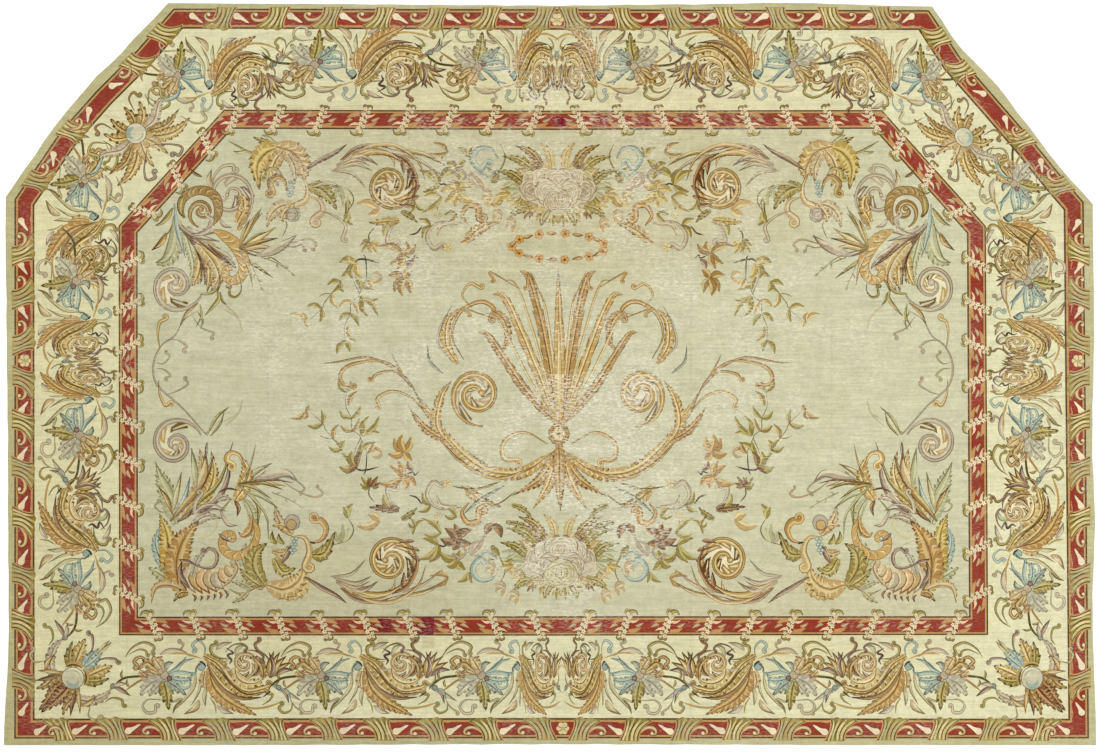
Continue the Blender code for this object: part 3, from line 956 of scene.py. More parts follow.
# Grasses and a lilac bud that reach towards the middle.
for tip, bend, width, family in (
        (124.9+109.6j, 122+115j, 2.0, "moss"), (129.4+105.2j, 125+112j, 1.8, "tan"),
        (134+115.8j, 128+117.6j, 1.4, "olive"), (139+119j, 130+120.6j, 2.4, "rust"),
        (133.4+127.8j, 127+127.4j, 1.1, "umber_leaf"), (131+102.6j, 127.6+110j, 1.0, "moss"),
        (126.4+143j, 124.6+134j, 1.5, "tan"), (145+135j, 134+127.6j, 0.8, "moss"),
):
    upper_cluster += leaf([119.6+124j, bend, tip], width, family, 3, 0.3)
upper_cluster += drawn(
    (leaf, 5.2, "lilac", 128.4+127.6j, 136+125j, 143+121.6j, 148.4+117.6j),
    (curl, 1, "pink", 138+124j, 148+121j, 154.6+119.6j, 158.6+122.2j, 156.4+124.4j),
    (curl, 0.9, "lilac", 139+122.6j, 147+123.6j, 151.4+122.6j, 152+125.4j),
    (band, 0.6, "tan_dark", 141+119j, 143.4+113j, 142.6+110.4j),
    (sprig, 1, "moss", 131+128.6j, 139+131.6j, 146+136.4j),
    (sprig, 0.9, "tan", 125+130j, 128+137j, 131+143j),
    (half_frond, 5.2, "amber", 118.6+114.4j, 121.8+107j, 123+100.6j, 119.4+97.4j),
    (leaf, 1.4, "pink", 118.6+114.4j, 124.2+106j, 124.2+100j),
    (leaf, 2.2, "lilac", 110+109j, 112.2+112.4j, 116+113.6j),
    (curl, 1.8, "lilac", 107+97j, 106.6+89.6j, 110.6+83.6j, 116.4+82.6j, 117+85j),
    (leaf, 3, "pink", 106.4+95j, 104.4+90j, 105.8+84.6j),
)
upper_cluster += whorl(115.6+97j, (14.2, 10.6, 10.2, 9.6, 8.4, 5.0, 3.2, 2.2), 75, -1, 1.6, "lilac", 6)
upper_cluster += drawn(
    (frond, 5.6, "amber", 118.4+111j, 121.4+105j, 121.6+99.6j, 118.6+97j),
    (curl, 1.6, "peach", 118+97.4j, 121+100j, 120+104j),
    (leaf, 1.8, "umber_leaf", 101+88.6j, 97.6+87j, 95.6+84.6j),
)
upper_cluster += whorl(100.5+105.6j, (8.4, 5.9, 5.4, 4.9, 3.1, 2.1, 1.2), 100, 1, 2.4, "rust", 0)
upper_cluster += ribbed([106.1+112.5j, 109.2+106j, 107.8+98.6j, 102.6+95.4j, 96.4+95.8j, 91.6+99.6j,
                         90.4+105j, 92.4+109j],
                         (1.4, 3.8, 4.4, 4.2, 4.0, 3.6, 2.8, 0.6), "rust", 12)
upper_cluster += drawn(
    (leaf, 3, "olive", 92.6+97.6j, 90.4+101j, 90.2+105.6j, 92.4+108.8j),
    (leaf, 2.6, "lilac", 104.8+110j, 104.4+114.6j, 100+117j, 94.9+116.9j),
    (curl, 1.8, "lilac", 101+114.6j, 104.4+113.6j, 106.4+110j, 103.6+108j),
)
# The fruit in its husk.
upper_cluster += drawn(
    (frond, 4.4, "olive", 139.6+73.4j, 133.4+71.6j, 126.4+68.4j),
    (leaf, 2, "sage", 139+73j, 134+69j, 131+67.6j),
    (leaf, 1.3, "moss", 131.4+77j, 125+76.4j, 119+73.4j, 114+70.6j),
    (leaf, 1.8, "ash_leaf", 124+75.6j, 120+76.6j, 116.6+75.8j),
    (frond, 11, "ochre", 139.4+73.6j, 132.6+76.8j, 128.4+83.6j, 129.6+94.8j),
    (frond, 11, "peach", 138+73.4j, 146.6+76.4j, 151.4+83.6j, 151.8+90j),
    (frond, 6, "peach", 142+75j, 138+80j, 136+87j, 139+93.4j),
    (frond, 5, "pink", 144+77j, 147.4+84j, 147+91j),
    (curl, 3.2, "rust", 143.4+96j, 142+90.6j, 138.4+88.4j, 135+91.6j, 136.4+95.6j),
    (curl, 2.4, "moss", 141.4+88.6j, 138+84.4j, 134+85.6j, 133.4+89j),
    (curl, 3.4, "peach", 150.8+87j, 153.8+94.6j, 152.4+100.6j, 146.6+103.4j),
    (frond, 6.4, "pink", 146+101.6j, 139.6+103.4j, 135.4+107.6j, 133.4+113.6j),
    (frond, 4.6, "peach", 146+101.6j, 142+107j, 141+111j),
)
upper_cluster += berries(145.8+95.2j, 6, 1.7, "blue")
upper_cluster += drawn(
    (bead, 3.8, "grey", 146.4+107.4j),
    (bead, 2.4, "lilac", 145.6+107.8j),
    (band, 0.45, "lilac_dark", 143.8+109.8j, 143.2+107j, 144.6+104.6j),
    (band, 0.45, "lilac_dark", 148.4+109.4j, 148.6+106.4j, 147.4+104.4j),
    (frond, 7.6, "olive", 154+93.6j, 160+94.2j, 165+98.6j, 168+105j),
    (leaf, 2.2, "ash_leaf", 154+94j, 164+91.6j, 172+96j, 175.6+103j),
    (leaf, 2.6, "moss", 168+92.6j, 173.6+101j, 172+111.6j),
    (curl, 3.4, "pink", 154.4+98.4j, 160+100.4j, 161.6+105.8j, 157+109.6j),
    (curl, 1.8, "lilac", 160+105.6j, 167+108j, 173+113j, 171.4+119.6j),
)
print("upper cluster:", len(upper_cluster), "patches")

# %% [markdown]
# A rolled acanthus leaf stands between the cluster and the bouquet. Its ring and its teeth come from the
# whorl pen, and the deep brown leaves on its outer arm are a loop. The lower scroll is the same drawing,
# upside down.

# %% Big scroll
big_scroll = drawn(
    (leaf, 2.6, "mauve", 0.4-8.4j, 8-13.4j, 16-17.6j, 21.4-21.4j),
    (leaf, 1.8, "lilac", 49.4-16.4j, 56-14j, 62.3-10.5j, 69.3-4.7j),
    (leaf, 2.4, "pink", 45-18.6j, 59.7-16.4j, 70.6-10.5j),
    (leaf, 1.1, "moss", 47.5-18.2j, 56-16.6j, 66-13.6j),
    (half_frond, 5.4, "peach", 19-13.6j, 27-18j, 37-19j, 44.4-15.6j, 45.5-9.6j),
    (leaf, 2, "mauve", 18-13.6j, 26-19.6j, 36-21j, 45-18.4j),
    (leaf, 2.8, "gold", 22-12.6j, 33-17j, 44-16j, 53-9j),
    (leaf, 3, "lilac", 16-11j, 25-14.6j, 32-14j, 37-10.6j),
    (leaf, 2.2, "tan", 24-16j, 34-20.6j, 46-20.6j, 57-13j, 61-3j),
    (leaf, 2.4, "lilac", 20.5-12.4j, 28.9-15.4j, 36.6-11.2j),
    (leaf, 2.2, "lilac", 14.7-8.6j, 25.6-11.6j, 34-8j),
    (leaf, 1.8, "lilac", 13.4-8j, 23.7-6.9j, 30.8+0.4j),
    (leaf, 1.8, "pink", 16-10j, 26-13.6j, 33-10.4j),
)
big_scroll += whorl(43+0.35j, (17.4, 13, 10.6, 10.0, 9.4, 6.2, 3.6, 2.2), -80, 1, 2.7, "gold", 10, "rust")
for k in range(6):
    way = np.exp(1j * (-1.15 + 0.36 * k))
    foot, tip = 43 + 15.4 * way + 0.3j, 43 + 9.4 * way * np.exp(0.42j) + 0.3j
    big_scroll += leaf([foot, (foot + tip) / 2 + 0.9 * way, tip], 2.9 - 0.14 * k, "deep", 4, 0.18)
big_scroll += leaf([44-17j, 52-13j, 57-2j, 54+7.6j], 2.4, "deep", 4, 0.25)
print("big scroll:", len(big_scroll), "patches")

# %% [markdown]
# The spray in the lower left has a shell, a gold roll and a second fruit. The shell is a fan of curved
# feathers that hang from a rolled heart, and each feather overlaps the last.

# %% Lower cluster
lower_cluster = drawn(
    (frond, 8.6, "sage", 88+262j, 84.6+250j, 81+240j, 77.6+232j),
    (frond, 7.6, "tan", 92+258j, 98+248j, 101+236j, 99.6+224j),
    (frond, 6, "gold", 94+256j, 103+247j, 107+236j, 105.4+225j),
    (leaf, 3, "mauve", 96+257j, 108+250j, 114+238j, 113.6+226j),
    (leaf, 2.4, "olive", 90+260j, 100+250j, 110+240j, 116.6+221j),
    (leaf, 3.2, "ash_leaf", 118+244j, 127+236j, 136+231.6j),
    (leaf, 3, "ochre_pale", 118+245j, 130+240.6j, 143+243j),
    (leaf, 2.6, "sage", 119+246j, 129+247j, 139+254j),
    (frond, 4.6, "sage", 121+248j, 126+256j, 127+266j, 124+274j),
    (frond, 4.6, "lilac", 96+262j, 103+258j, 111+259j),
    (frond, 6.4, "sage", 130+292j, 124+287j, 121+279j, 123+271j),
    (frond, 5, "gold", 140+298j, 148+295j, 153+288j),
    (leaf, 3.4, "sage", 87+253j, 84.6+246j, 80+238j, 77.4+231j),
    (leaf, 2.6, "rust", 86.4+257j, 83+249j, 79.4+243.6j),
    (curl, 0.9, "ash_leaf", 84+256j, 80+256j, 77.4+253j, 79.6+251j),
    (leaf, 2.6, "blue", 87+258j, 92.4+249j, 95+238j),
    (leaf, 3.4, "rust", 85.4+260.6j, 92+252.6j, 98.6+245j, 104+236j, 107+227.6j),
    (leaf, 2.8, "ash_leaf", 86.4+256j, 88.4+246j, 90.6+236j),
    (leaf, 4.6, "tan", 97+246j, 102+236j, 102.6+226j),
    (leaf, 3.6, "sage", 98+244j, 97+234j, 95.6+224j),
    (leaf, 1.8, "mauve", 103.4+221j, 103.2+225.6j, 102.8+230j),
    (frond, 7, "amber", 117.4+250j, 122+243j, 123.4+234.6j, 120.4+227.6j),
    (curl, 3, "amber", 122.6+234j, 119.6+227.4j, 115+226.4j, 113.6+230j, 116.4+231.6j),
    (band, 1, "umber", 109+246j, 114+244j, 119+245j),
    (leaf, 2.4, "deep", 117.4+250j, 119.4+253.6j, 118.4+258j),
    (leaf, 1.2, "moss", 115+250j, 111+255.6j, 113+259j),
)
for tip, bend, width, family in (
        (126+230j, 123+240j, 1.4, "moss"), (133+235j, 127+240j, 1.6, "olive"),
        (141.4+244.6j, 131+241j, 2.2, "olive"), (128+222j, 125.4+232j, 1.2, "tan"),
        (136+249.6j, 127+243.6j, 1.8, "moss"), (128.6+264j, 129+252j, 2.2, "moss"),
        (134+270j, 132.4+256j, 1.4, "sage"), (147+241.6j, 136+239.6j, 1.2, "umber_leaf"),
):
    lower_cluster += leaf([119+242j, bend, tip], width, family, 3, 0.3)
lower_cluster += drawn(
    (leaf, 5, "lilac", 128+239j, 136+237j, 144+236.6j, 149+241j),
    (curl, 1, "pink", 139+239j, 149+245.6j, 157+248.6j, 161.4+247j, 158.6+244j),
    (curl, 0.9, "lilac", 141+238j, 149+241j, 152.4+244.6j, 150+246.4j),
    (sprig, 0.9, "ash_leaf", 136+246j, 143+249j, 149.6+252.6j),
)
# The tall leaves at the left.
lower_cluster += drawn(
    (frond, 5, "blue", 88.4+291j, 81+281j, 78+271j, 80.6+262j),
    (frond, 5, "sage", 84.8+290.4j, 79+286.4j, 74.2+283.6j),
    (frond, 9.4, "ochre", 88.6+295j, 84.6+280j, 83.6+267j, 79.6+256.6j),
    (frond, 12.4, "copper", 89.4+294j, 88.4+281j, 92+269.6j, 99.6+260j),
    (leaf, 2, "umber_leaf", 88.6+261j, 94+257.4j, 96.4+254j),
    (half_frond, 6, "tan", 93.6+296j, 84.6+292.6j, 78+294j, 75.6+301.6j),
    (frond, 4, "rust", 94+296.4j, 90+296.6j, 86.4+300.6j),
)
for k in range(6):
    step = (3.2 - 0.3j) * k
    lower_cluster += leaf([96+296.4j + step, 98+298.6j + step, 97+301j + step], 1.5, "deep")
# The shell: curved feathers that hang from a rolled heart to a round edge.
lower_cluster.append((smooth([92.7+283.7j, 91.5+290j, 94+296j, 101+298j, 109+296.6j, 115.6+291j,
                              119.8+283.6j, 117+280j, 110+284j, 103+285j, 97+283j], 2), "pink_light"))
for top, bend, foot, width, family in (
        (92.7+283.7j, 91+289j, 93.3+295j, 2.6, "mauve"),
        (94.9+283.7j, 93.3+290.2j, 98+296.7j, 4.6, "rose"),
        (98.4+283.9j, 97.1+290.2j, 101.4+297j, 5.6, "peach"),
        (101.6+284.5j, 100.6+290.8j, 105+296.9j, 5.4, "buff_leaf"),
        (104.8+284.7j, 104.4+290.8j, 108.6+296.2j, 5.4, "pink"),
        (108+286j, 108.2+291j, 112+294.6j, 5.4, "lilac"),
        (110.6+284j, 112+289j, 114.6+292j, 5.0, "buff_leaf"),
        (113+282.6j, 115+286.4j, 117.2+288.6j, 4.6, "pink"),
        (115.4+280.4j, 117.4+283j, 119.4+284j, 3.0, "pink"),
):
    lower_cluster += leaf([top, bend, foot], width, family, 5, 0.24)
lower_cluster += drawn(
    (leaf, 2.8, "mauve", 94.6+294j, 90+287j, 91.4+279.6j),
    (leaf, 2.4, "mauve", 97+281.6j, 92.4+280.6j, 89.6+279.6j),
    (frond, 3.6, "grey", 96+288j, 99+279j, 104+275j),
    (curl, 1.9, "mauve", 95.1+280.8j, 98.6+282.7j, 103.4+284j, 107+283.2j, 108.7+279.4j, 107.6+275.7j,
     104.6+274.3j, 102.8+276j),
    (half_frond, 3.4, "pink", 117.4+280.4j, 118.6+285j, 114.6+291j, 108+295.6j),
    (band, 0.5, "ochre_pale_mid", 98.6+269j, 104.6+267.8j, 108.7+262.5j, 106.9+258.3j),
    (band, 0.45, "lilac_mid", 96+270j, 103+272.4j, 110+277j, 110.4+283j),
    (curl, 2, "lilac", 113+255.6j, 108+252.4j, 101.6+253j, 97.4+256.4j, 98+251j, 101+247j),
    (curl, 1.6, "mauve", 112+255j, 106+254.6j, 101+256.8j),
    (frond, 3.6, "lilac", 108.6+249.6j, 112+248j, 116+249.6j),
    (leaf, 2.2, "lilac", 110+255j, 114+262j, 118.6+262.6j),
)
lower_cluster += ribbed([125.2+257.7j, 128.4+264.8j, 127.0+271.9j, 122.3+276.8j, 116.4+277.6j, 112.1+274.6j,
                         111.2+270.1j, 113+267j, 116+267j, 117+269.4j, 115.2+270.4j],
                         (0.8, 2.4, 3.2, 4.2, 4.4, 4.2, 3.8, 3.2, 2.6, 2.0, 1.4), "amber", 12)
lower_cluster += drawn(
    (leaf, 2, "mauve", 109.3+266.6j, 112.2+269j, 115.2+270.7j),
    (half_frond, 5.6, "copper", 126.4+259.4j, 125.4+265.6j, 121.6+268.4j, 118.8+266j),
)
# The second fruit.
lower_cluster += drawn(
    (frond, 9, "olive", 132.4+293.4j, 126.6+284j, 127.4+276.4j, 133.4+271.4j),
    (frond, 5, "moss", 131.6+294j, 125+290j, 119.6+284j),
    (leaf, 1.2, "moss", 114.6+294.6j, 121+297j, 128.6+293.4j, 132+292.8j),
    (frond, 3, "sage", 125+294.4j, 120+291.6j, 115.4+291j),
    (frond, 3, "ash_leaf", 124+296j, 120.4+299j, 116+301.6j),
    (frond, 8, "ochre_pale", 151.6+286j, 150.6+293j, 144+297.6j, 136+297.4j),
    (frond, 10, "peach", 133.4+292.6j, 142+294.6j, 149.4+290j, 152.6+281j),
    (frond, 6, "moss", 137+279j, 141.6+285.6j, 148+284j),
    (frond, 3.6, "tan", 136+275.4j, 141+276.4j, 144+272.6j),
    (leaf, 2.8, "mauve", 140.6+281.6j, 143.4+277j, 145+272.6j),
    (leaf, 3, "olive", 138.4+272j, 135.8+269.6j, 136+265.4j),
    (leaf, 2.8, "olive", 142+272j, 139.6+270j, 139.2+266.6j),
    (curl, 3.6, "peach", 145.4+268.4j, 152+268.8j, 155+275.6j, 152.6+282.6j),
    (frond, 5, "pink", 145.6+267j, 139.4+260.4j, 137+252j),
    (frond, 4, "peach", 146+267j, 141.4+263j, 135.6+262.6j),
    (bead, 4.2, "grey", 146+261.2j),
    (bead, 2.8, "peach", 145.6+262.4j),
)
lower_cluster += berries(147+273.6j, 6, 1.8, "blue")
lower_cluster += drawn(
    (curl, 3.6, "copper", 155.6+271.4j, 160.6+270j, 163+264.8j, 160.4+260.6j, 157.6+260.8j),
    (band, 1, "ink", 154.6+271j, 157.6+271.8j),
    (frond, 6.8, "olive", 156+277.4j, 162+276j, 167.6+265.4j),
)
print("lower cluster:", len(lower_cluster), "patches")

# %% [markdown]
# On the left side of the field, a thin vine joins the two clusters. It ends in a grey roll at each end, and
# the lower one mirrors the upper one.

# %% Side vines
side_vines = drawn(
    (curl, 1, "lilac", 100+155j, 92+160j, 87.4+168j, 80.6+173j, 77+182j, 79+192.6j, 90+202.6j, 103+217j),
    (curl, 1.8, "amber", 80+174j, 79+167j, 80+161j, 83+159.4j),
    (curl, 1.8, "amber", 79.6+190j, 80+197j, 82.6+202.4j, 85+201j),
    (curl, 1, "ash_leaf", 78+181j, 82+181.6j, 85+178j, 83+176.4j),
    (curl, 1, "ash_leaf", 78+184j, 82+184.4j, 85.4+187.4j, 83+189j),
    (curl, 1.2, "lilac", 83+170j, 89+170j, 93.6+173j, 92+175j),
    (curl, 1.2, "lilac", 84+197j, 89+195.4j, 94+192j, 92.4+189.6j),
    (curl, 1.1, "lilac", 96+158j, 101+164j, 107+166.6j, 105.6+168.6j),
    (leaf, 1.3, "moss", 99+156j, 101.6+160.4j, 100+165j),
)
for sign, middle in ((1, 160), (-1, 205.5)):
    for k, reach in ((0, 8), (1, 5.6)):
        side_vines += place(band([112-0.6*k-1j*reach, 119-1j*reach*0.2, 121+1j*reach*0.7], 0.8,
                                 ("lilac_mid", "ash_leaf_mid")[k]), 1j * middle, 1, 1j * sign)
side_vines += whorl(87.1+142.8j, (14.8, 12.4, 9.8, 8.4, 6.7, 4.4, 3.0, 1.6), 20, 1, 3.2, "lilac", 9,
                    "ochre")
side_vines += drawn(
    (leaf, 1.8, "rust", 99+151.6j, 93+157j, 90+163j),
    (leaf, 1.3, "moss", 100+152j, 101+158j, 98+163.6j),
)
side_vines += whorl(87.1+222.2j, (14.8, 12.4, 9.8, 8.4, 6.7, 4.4, 3.0, 1.6), -20, -1, 3.2, "lilac", 9,
                    "ochre")
side_vines += drawn(
    (leaf, 1.8, "moss", 104+216.6j, 108+209j, 114.6+203.4j),
    (leaf, 1.3, "olive", 105+218j, 110+212j, 112+206j),
)
print("side vines:", len(side_vines), "patches")

# %% [markdown]
# Loose vine leaves fill the room between a big scroll and a bouquet. The upper and lower ones share their
# drawing, but not their wools, so the dyes are arguments. A leafy spray is a foot and the tips of its
# leaves, which is all that a weaver needs to see.

# %% Garlands
def leafy(points, width, family):
    """Pointed leaves that share a foot, which is the first point."""
    base, *tips = points
    patches = []
    for k, tip in enumerate(tips):
        patches += blade(base, tip, 1.3 * width, family, 0.14 * (-1) ** k)
    return patches


def vine(gold, dark, warm):
    """The loose vine leaves between a big scroll and a bouquet, with three families of dyes."""
    p = []
    p += drawn(
        (band, 0.7, "moss_dark", 187.3+113.7j, 184.4+117.6j, 185+122j),
        (band, 0.6, "moss_dark", 165+92j, 173.8+95j, 176.7+100.2j, 173.8+106j),
        (leafy, 2.6, dark, 173.8+105.6j, 176.4+113j, 171.6+111.4j),
        (leafy, 2.6, "sage", 171+94j, 168+99j, 174+101j, 172.6+99.6j, 171+103j),
        (frond, 4.2, gold, 199.5+110.2j, 192+111j, 184+111.2j),
        (leafy, 3.2, "peach", 190+105j, 178.4+101.8j, 184+107.4j),
        (curl, 2.4, "lilac", 198.8+111.1j, 195+115j, 193.7+120.8j, 197.6+120.1j),
        (leafy, 2, "moss", 195+111.4j, 191.8+118j),
    )
    p += ivy(185+121j, -4+5j, 6.6, dark)
    p += ivy(185.4+121j, 5+5.4j, 6.6, gold, 0.2)
    p += drawn(
        (frond, 3, "olive", 200.8+105.4j, 205+107.6j, 208.8+111.4j),
        (leafy, 1.8, dark, 215.5+112.7j, 209.4+109.2j, 210.6+114j, 211+119j),
        (band, 0.9, "mauve_dark", 211+113j, 208.4+116.4j, 204.6+117.6j),
        (leafy, 3, dark, 177.6+131j, 169.6+131.4j, 170.8+138.4j, 176+139.4j),
        (leafy, 2.4, gold, 178.6+131.6j, 181+139.4j, 174+128j),
        (band, 0.9, "ink", 177.6+131j, 180+129.7j, 184+130j, 189.5+131.7j),
        (band, 0.6, "ink", 181.8+127.5j, 183+130j, 183.4+139.4j),
        (leafy, 2.7, warm, 201.4+126.6j, 189.4+123.1j, 194.6+132.2j, 203+120.6j, 198.6+134.6j, 208+122j),
        (band, 0.7, "mauve_dark", 202+127.5j, 206.5+129.1j, 207.2+127.5j, 209.3+129.3j),
        (leafy, 2.2, "mauve", 206.8+130j, 203.6+134.4j),
        (leafy, 2.9, warm, 202+139j, 194+138j, 206+135j, 197+146j, 205+146.6j, 201+148j),
        (leafy, 2, "pink", 191+139j, 186+136.6j, 187+142j),
        (curl, 2.3, "lilac", 231+111.6j, 219.4+111.1j, 213.6+117.6j, 216.4+124j, 220.4+122j),
        (half_frond, 3.6, "rose", 228.6+112j, 221+113j, 218.4+118j),
    )
    p += rosette(223.6+123.4j, 2.3, 5, "peach", "pink_mid")
    p += drawn(
        (leafy, 2.6, dark, 219.7+92.8j, 209.6+85j, 211.6+96j, 214.6+83.6j),
        (band, 0.8, "ink", 219.7+92.8j, 222+91.9j, 225.8+93.8j),
        (leafy, 3.2, gold, 228.4+95j, 220.4+95.7j, 227.4+103.4j, 236.6+100.6j, 235.9+93.4j, 226.4+90j,
         222.6+101j),
        (leafy, 3, dark, 228.4+85j, 219.8+89.4j, 233+80.2j, 223.4+81.6j, 230+90j),
        (leafy, 1.5, warm, 224.2+76.4j, 216.6+71.4j, 222.4+71.8j, 221+79.6j, 214.8+76.8j),
        (leafy, 2, "olive", 234.6+79j, 228.6+73.8j, 236+73.4j),
        (leafy, 1.2, "olive", 207.8+101.5j, 204.4+103.6j, 206.6+97.8j, 212+105j, 205.4+106j),
        (leafy, 1.6, "moss", 221+98.6j, 212+98j, 214+103.6j, 219+105j, 211+106j),
    )
    p += rosette(219+107.4j, 2.0, 5, "pink", "peach_light")
    p += drawn(
        (leafy, 1.8, "olive", 228.6+107.2j, 222.4+107.4j, 224+111j),
        (leafy, 2.6, "olive", 247+91.6j, 243.6+83.6j, 250+87.6j),
        (leafy, 3, gold, 246.4+103j, 250.6+96j, 243+97.6j),
    )
    return p


def hanging_spray(dark, warm):
    """Fine stems that hang from the loose vine, with small pointed leaves in pairs."""
    p = []
    for stem in (
            [175.7+136j, 177.4+142j, 179.6+147.6j, 175.4+151.5j, 175.1+156.5j, 172.3+163.2j, 172.7+170.4j],
            [171.6+139.6j, 166.2+146.4j, 162.3+151.5j, 161+154.5j, 154.5+160.1j],
            [183.4+139j, 181+144j, 179.6+147.6j], [166.2+146.7j, 162+147j, 159.5+148.4j],
    ):
        p += band(stem, 0.4, "moss_dark")
    for base, tips in (
            (170.7+141.1j, (163.6+142.6j, 166.8+145.9j, 172+146j)),
            (177.9+138.6j, (187.4+144.8j, 180+145j)),
            (180.4+148.1j, (189.1+149.6j, 189.1+158.2j, 184+158.2j, 181.5+153.7j)),
            (161+154.5j, (153.2+153.1j, 160+161j)), (175.1+156.7j, (169.2+160.6j, 179.6+163j)),
            (172.6+170.2j, (168.4+177j, 174.8+175.6j)),
    ):
        p += leafy([base, *tips], 1.9, dark)
    for base, tips in (
            (176.2+150.6j, (169.6+153.3j, 179+157j)), (173.7+163.4j, (177.9+170.6j,)),
            (166.2+146.4j, (168.8+154j,)), (152.3+160.4j, (145+156.7j, 153.9+163.6j, 151.1+156.3j)),
            (183.4+139.4j, (189+141j, 186+144.6j)),
    ):
        p += leafy([base, *tips], 1.8, warm)
    return p


garlands = hanging_spray("olive", "gold")
garlands += place(hanging_spray("olive", "rust"), 0.6+366j, 1, -1j)
garlands += vine("ochre", "olive", "rust")
garlands += place(vine("umber_leaf", "olive", "copper"), 365j, 1, -1j)
# The two curled hooks with their gold leaves, and the blue ones.
for sign, middle in ((1, 0), (-1, 364)):
    hooks = drawn(
        (frond, 5.2, "gold", 232.6+120.6j, 237+116.2j, 243.4+112.6j, 251.4+110.2j),
        (leafy, 1.5, "copper", 237+117j, 233.4+121.6j, 230+121j),
        (curl, 3.4, "copper", 234.6+112.6j, 231+107.9j, 234+102.6j, 239.4+103.4j, 239.4+108.4j),
        (curl, 2.9, "blue", 249+79.4j, 245.6+74.6j, 239.6+74.4j, 236.4+79.4j, 240.4+84.4j, 243+81j),
        (leafy, 1.7, "blue", 244+88.6j, 236+90.4j, 249+84.6j, 233.6+88j),
        (curl, 1, "moss", 250+72j, 252.6+79j, 249+87j, 246+90j),
        (curl, 1.3, "lilac", 224+90.6j, 229+91.6j, 233+88.6j, 230.4+85j, 227.4+87j),
        (leafy, 3, "lilac", 236+86j, 240+94j, 243+98j),
    )
    garlands += place(hooks, 1j * middle, 1, 1j * sign)
garlands += drawn(
    (frond, 2.8, "olive", 253+261j, 261+262.6j, 268+266j),
    (frond, 2.6, "moss", 256+252.4j, 262+255j, 267.6+261.6j),
)
print("garlands:", len(garlands), "patches")

# %% [markdown]
# Each bouquet has pale roses in a bed of small leaves. The bed is two rings of leaves around the roses. A
# sine of the leaf's number turns and sizes each, which looks uneven and is the same on each run. The roses
# come last, because they lie on top.

# %% Bouquets
def bouquet(roses):
    """Pale roses in a bed of leaves, with worn blossoms at their edge."""
    p = []
    families = ("moss", "ochre_pale", "olive", "gold", "tan", "sage", "umber_leaf", "ochre")
    # Two rings of small leaves, each turned and sized a little differently.
    for ring, (count, across, high, size) in enumerate(((11, 33, 17.5, 7.4), (9, 25, 14, 8.4))):
        for k in range(count):
            way = np.exp(1j * np.pi * (0.52 + 0.96 * (k + 0.5 * (ring % 2)) / count))
            tip = across * way.real + 1j * high * way.imag + 4j
            lean = np.exp(0.5j * np.sin(5 * k + 2 * ring))
            share = 0.8 + 0.28 * np.sin(3 * k + ring)
            p += ivy(0.72 * (tip - 4j) + 4j, (tip - 4j) * lean, size * share, families[(3 * k + ring) % 8])
    for base, tip, family in (
            (-8-8j, -22-19j, "rust"), (-3-8j, -9-20j, "ochre_pale"), (-16+2j, -31-6j, "olive"),
            (-13+12j, -25+19j, "moss"), (-5+14j, -8+22j, "ash_leaf"), (-12-5j, -28-13j, "moss"),
    ):
        p += frond([base, (base + tip) / 2 + 0.12j * (tip - base), tip], 4.2, family)
    for x, y in ((-28, 17), (-33, 7), (-21, 21)):
        p += leafy(x + 1j * y + np.array([0, -5+2j, -2+4j, -5-2j]), 2.6, "pink")
    for x, y, size, family in roses:
        p += rose(0.86 * x + 0.8j * y + 1j, 0.84 * size, family, 0.3 * x)
    return p


TOP_ROSES = ((-14, -1.5, 7.0, "ash_leaf"), (-15, 4, 7.2, "lilac"), (-9, -4, 6.0, "rose"),
             (-1.5, -2, 7.0, "rose"), (-6, 5, 7.4, "rose"), (-2.4, 10.6, 6.2, "lilac"))
LOW_ROSES = ((-14, 2.5, 7.2, "lilac"), (-9, -3, 6.6, "rose"), (-2, -3.4, 8.4, "rose"),
             (-8, 5.4, 7.0, "lilac"), (-3, 11, 7.8, "ash_leaf"), (-18, 8, 4.4, "rose"))
print("upper bouquet:", len(bouquet(TOP_ROSES)), "patches")

# %% [markdown]
# The middle of the field has a palmette of plumes between open scrolls, and an oval wreath of buds over it.
# It is drawn in the gold and copper wools of the rest. The half is mirrored like everything else, and only
# what stands on the middle line is drawn whole.

# %% Middle ornament
def plume(points, width, family):
    """A feather with a scalloped edge."""
    return frond(points, width, family, notch=0.82)


# The stem that sweeps out and rolls up, with acanthus on its back and thin tendrils at its end.
medallion_half = drawn(
    (curl, 1.9, "copper", 213+208j, 204+190j, 191+180.6j, 176+182j, 170+187j, 172+192j, 177+192j),
    (curl, 1.7, "amber", 216+212j, 207+200j, 197+195.6j, 189+199j, 190+203j),
    (curl, 1.5, "copper", 206+194j, 198+186j, 189+186.6j, 186+190j),
    (leaf, 1.2, "copper", 196+184j, 184+178.4j, 168+181j, 160+181.6j),
    (leaf, 1.1, "amber", 203+189j, 199+183j, 196+177j),
    (frond, 6.4, "amber", 277+226j, 262+236j, 245+236j, 230+226j, 217+210j, 208+196j),
    (leaf, 2, "copper", 268+233j, 248+239.6j, 228+229j, 214+211j),
    (frond, 5.4, "amber", 226+224j, 218+213j, 220+199j, 226+190j),
    (frond, 4, "copper", 222+220j, 212+214j, 204+203j),
)
medallion_half += whorl(238+197j, (17, 12.6, 11.2, 10.4, 9.2, 7.2, 5, 3), 78, 1, 2.6, "amber", 16, "lilac")
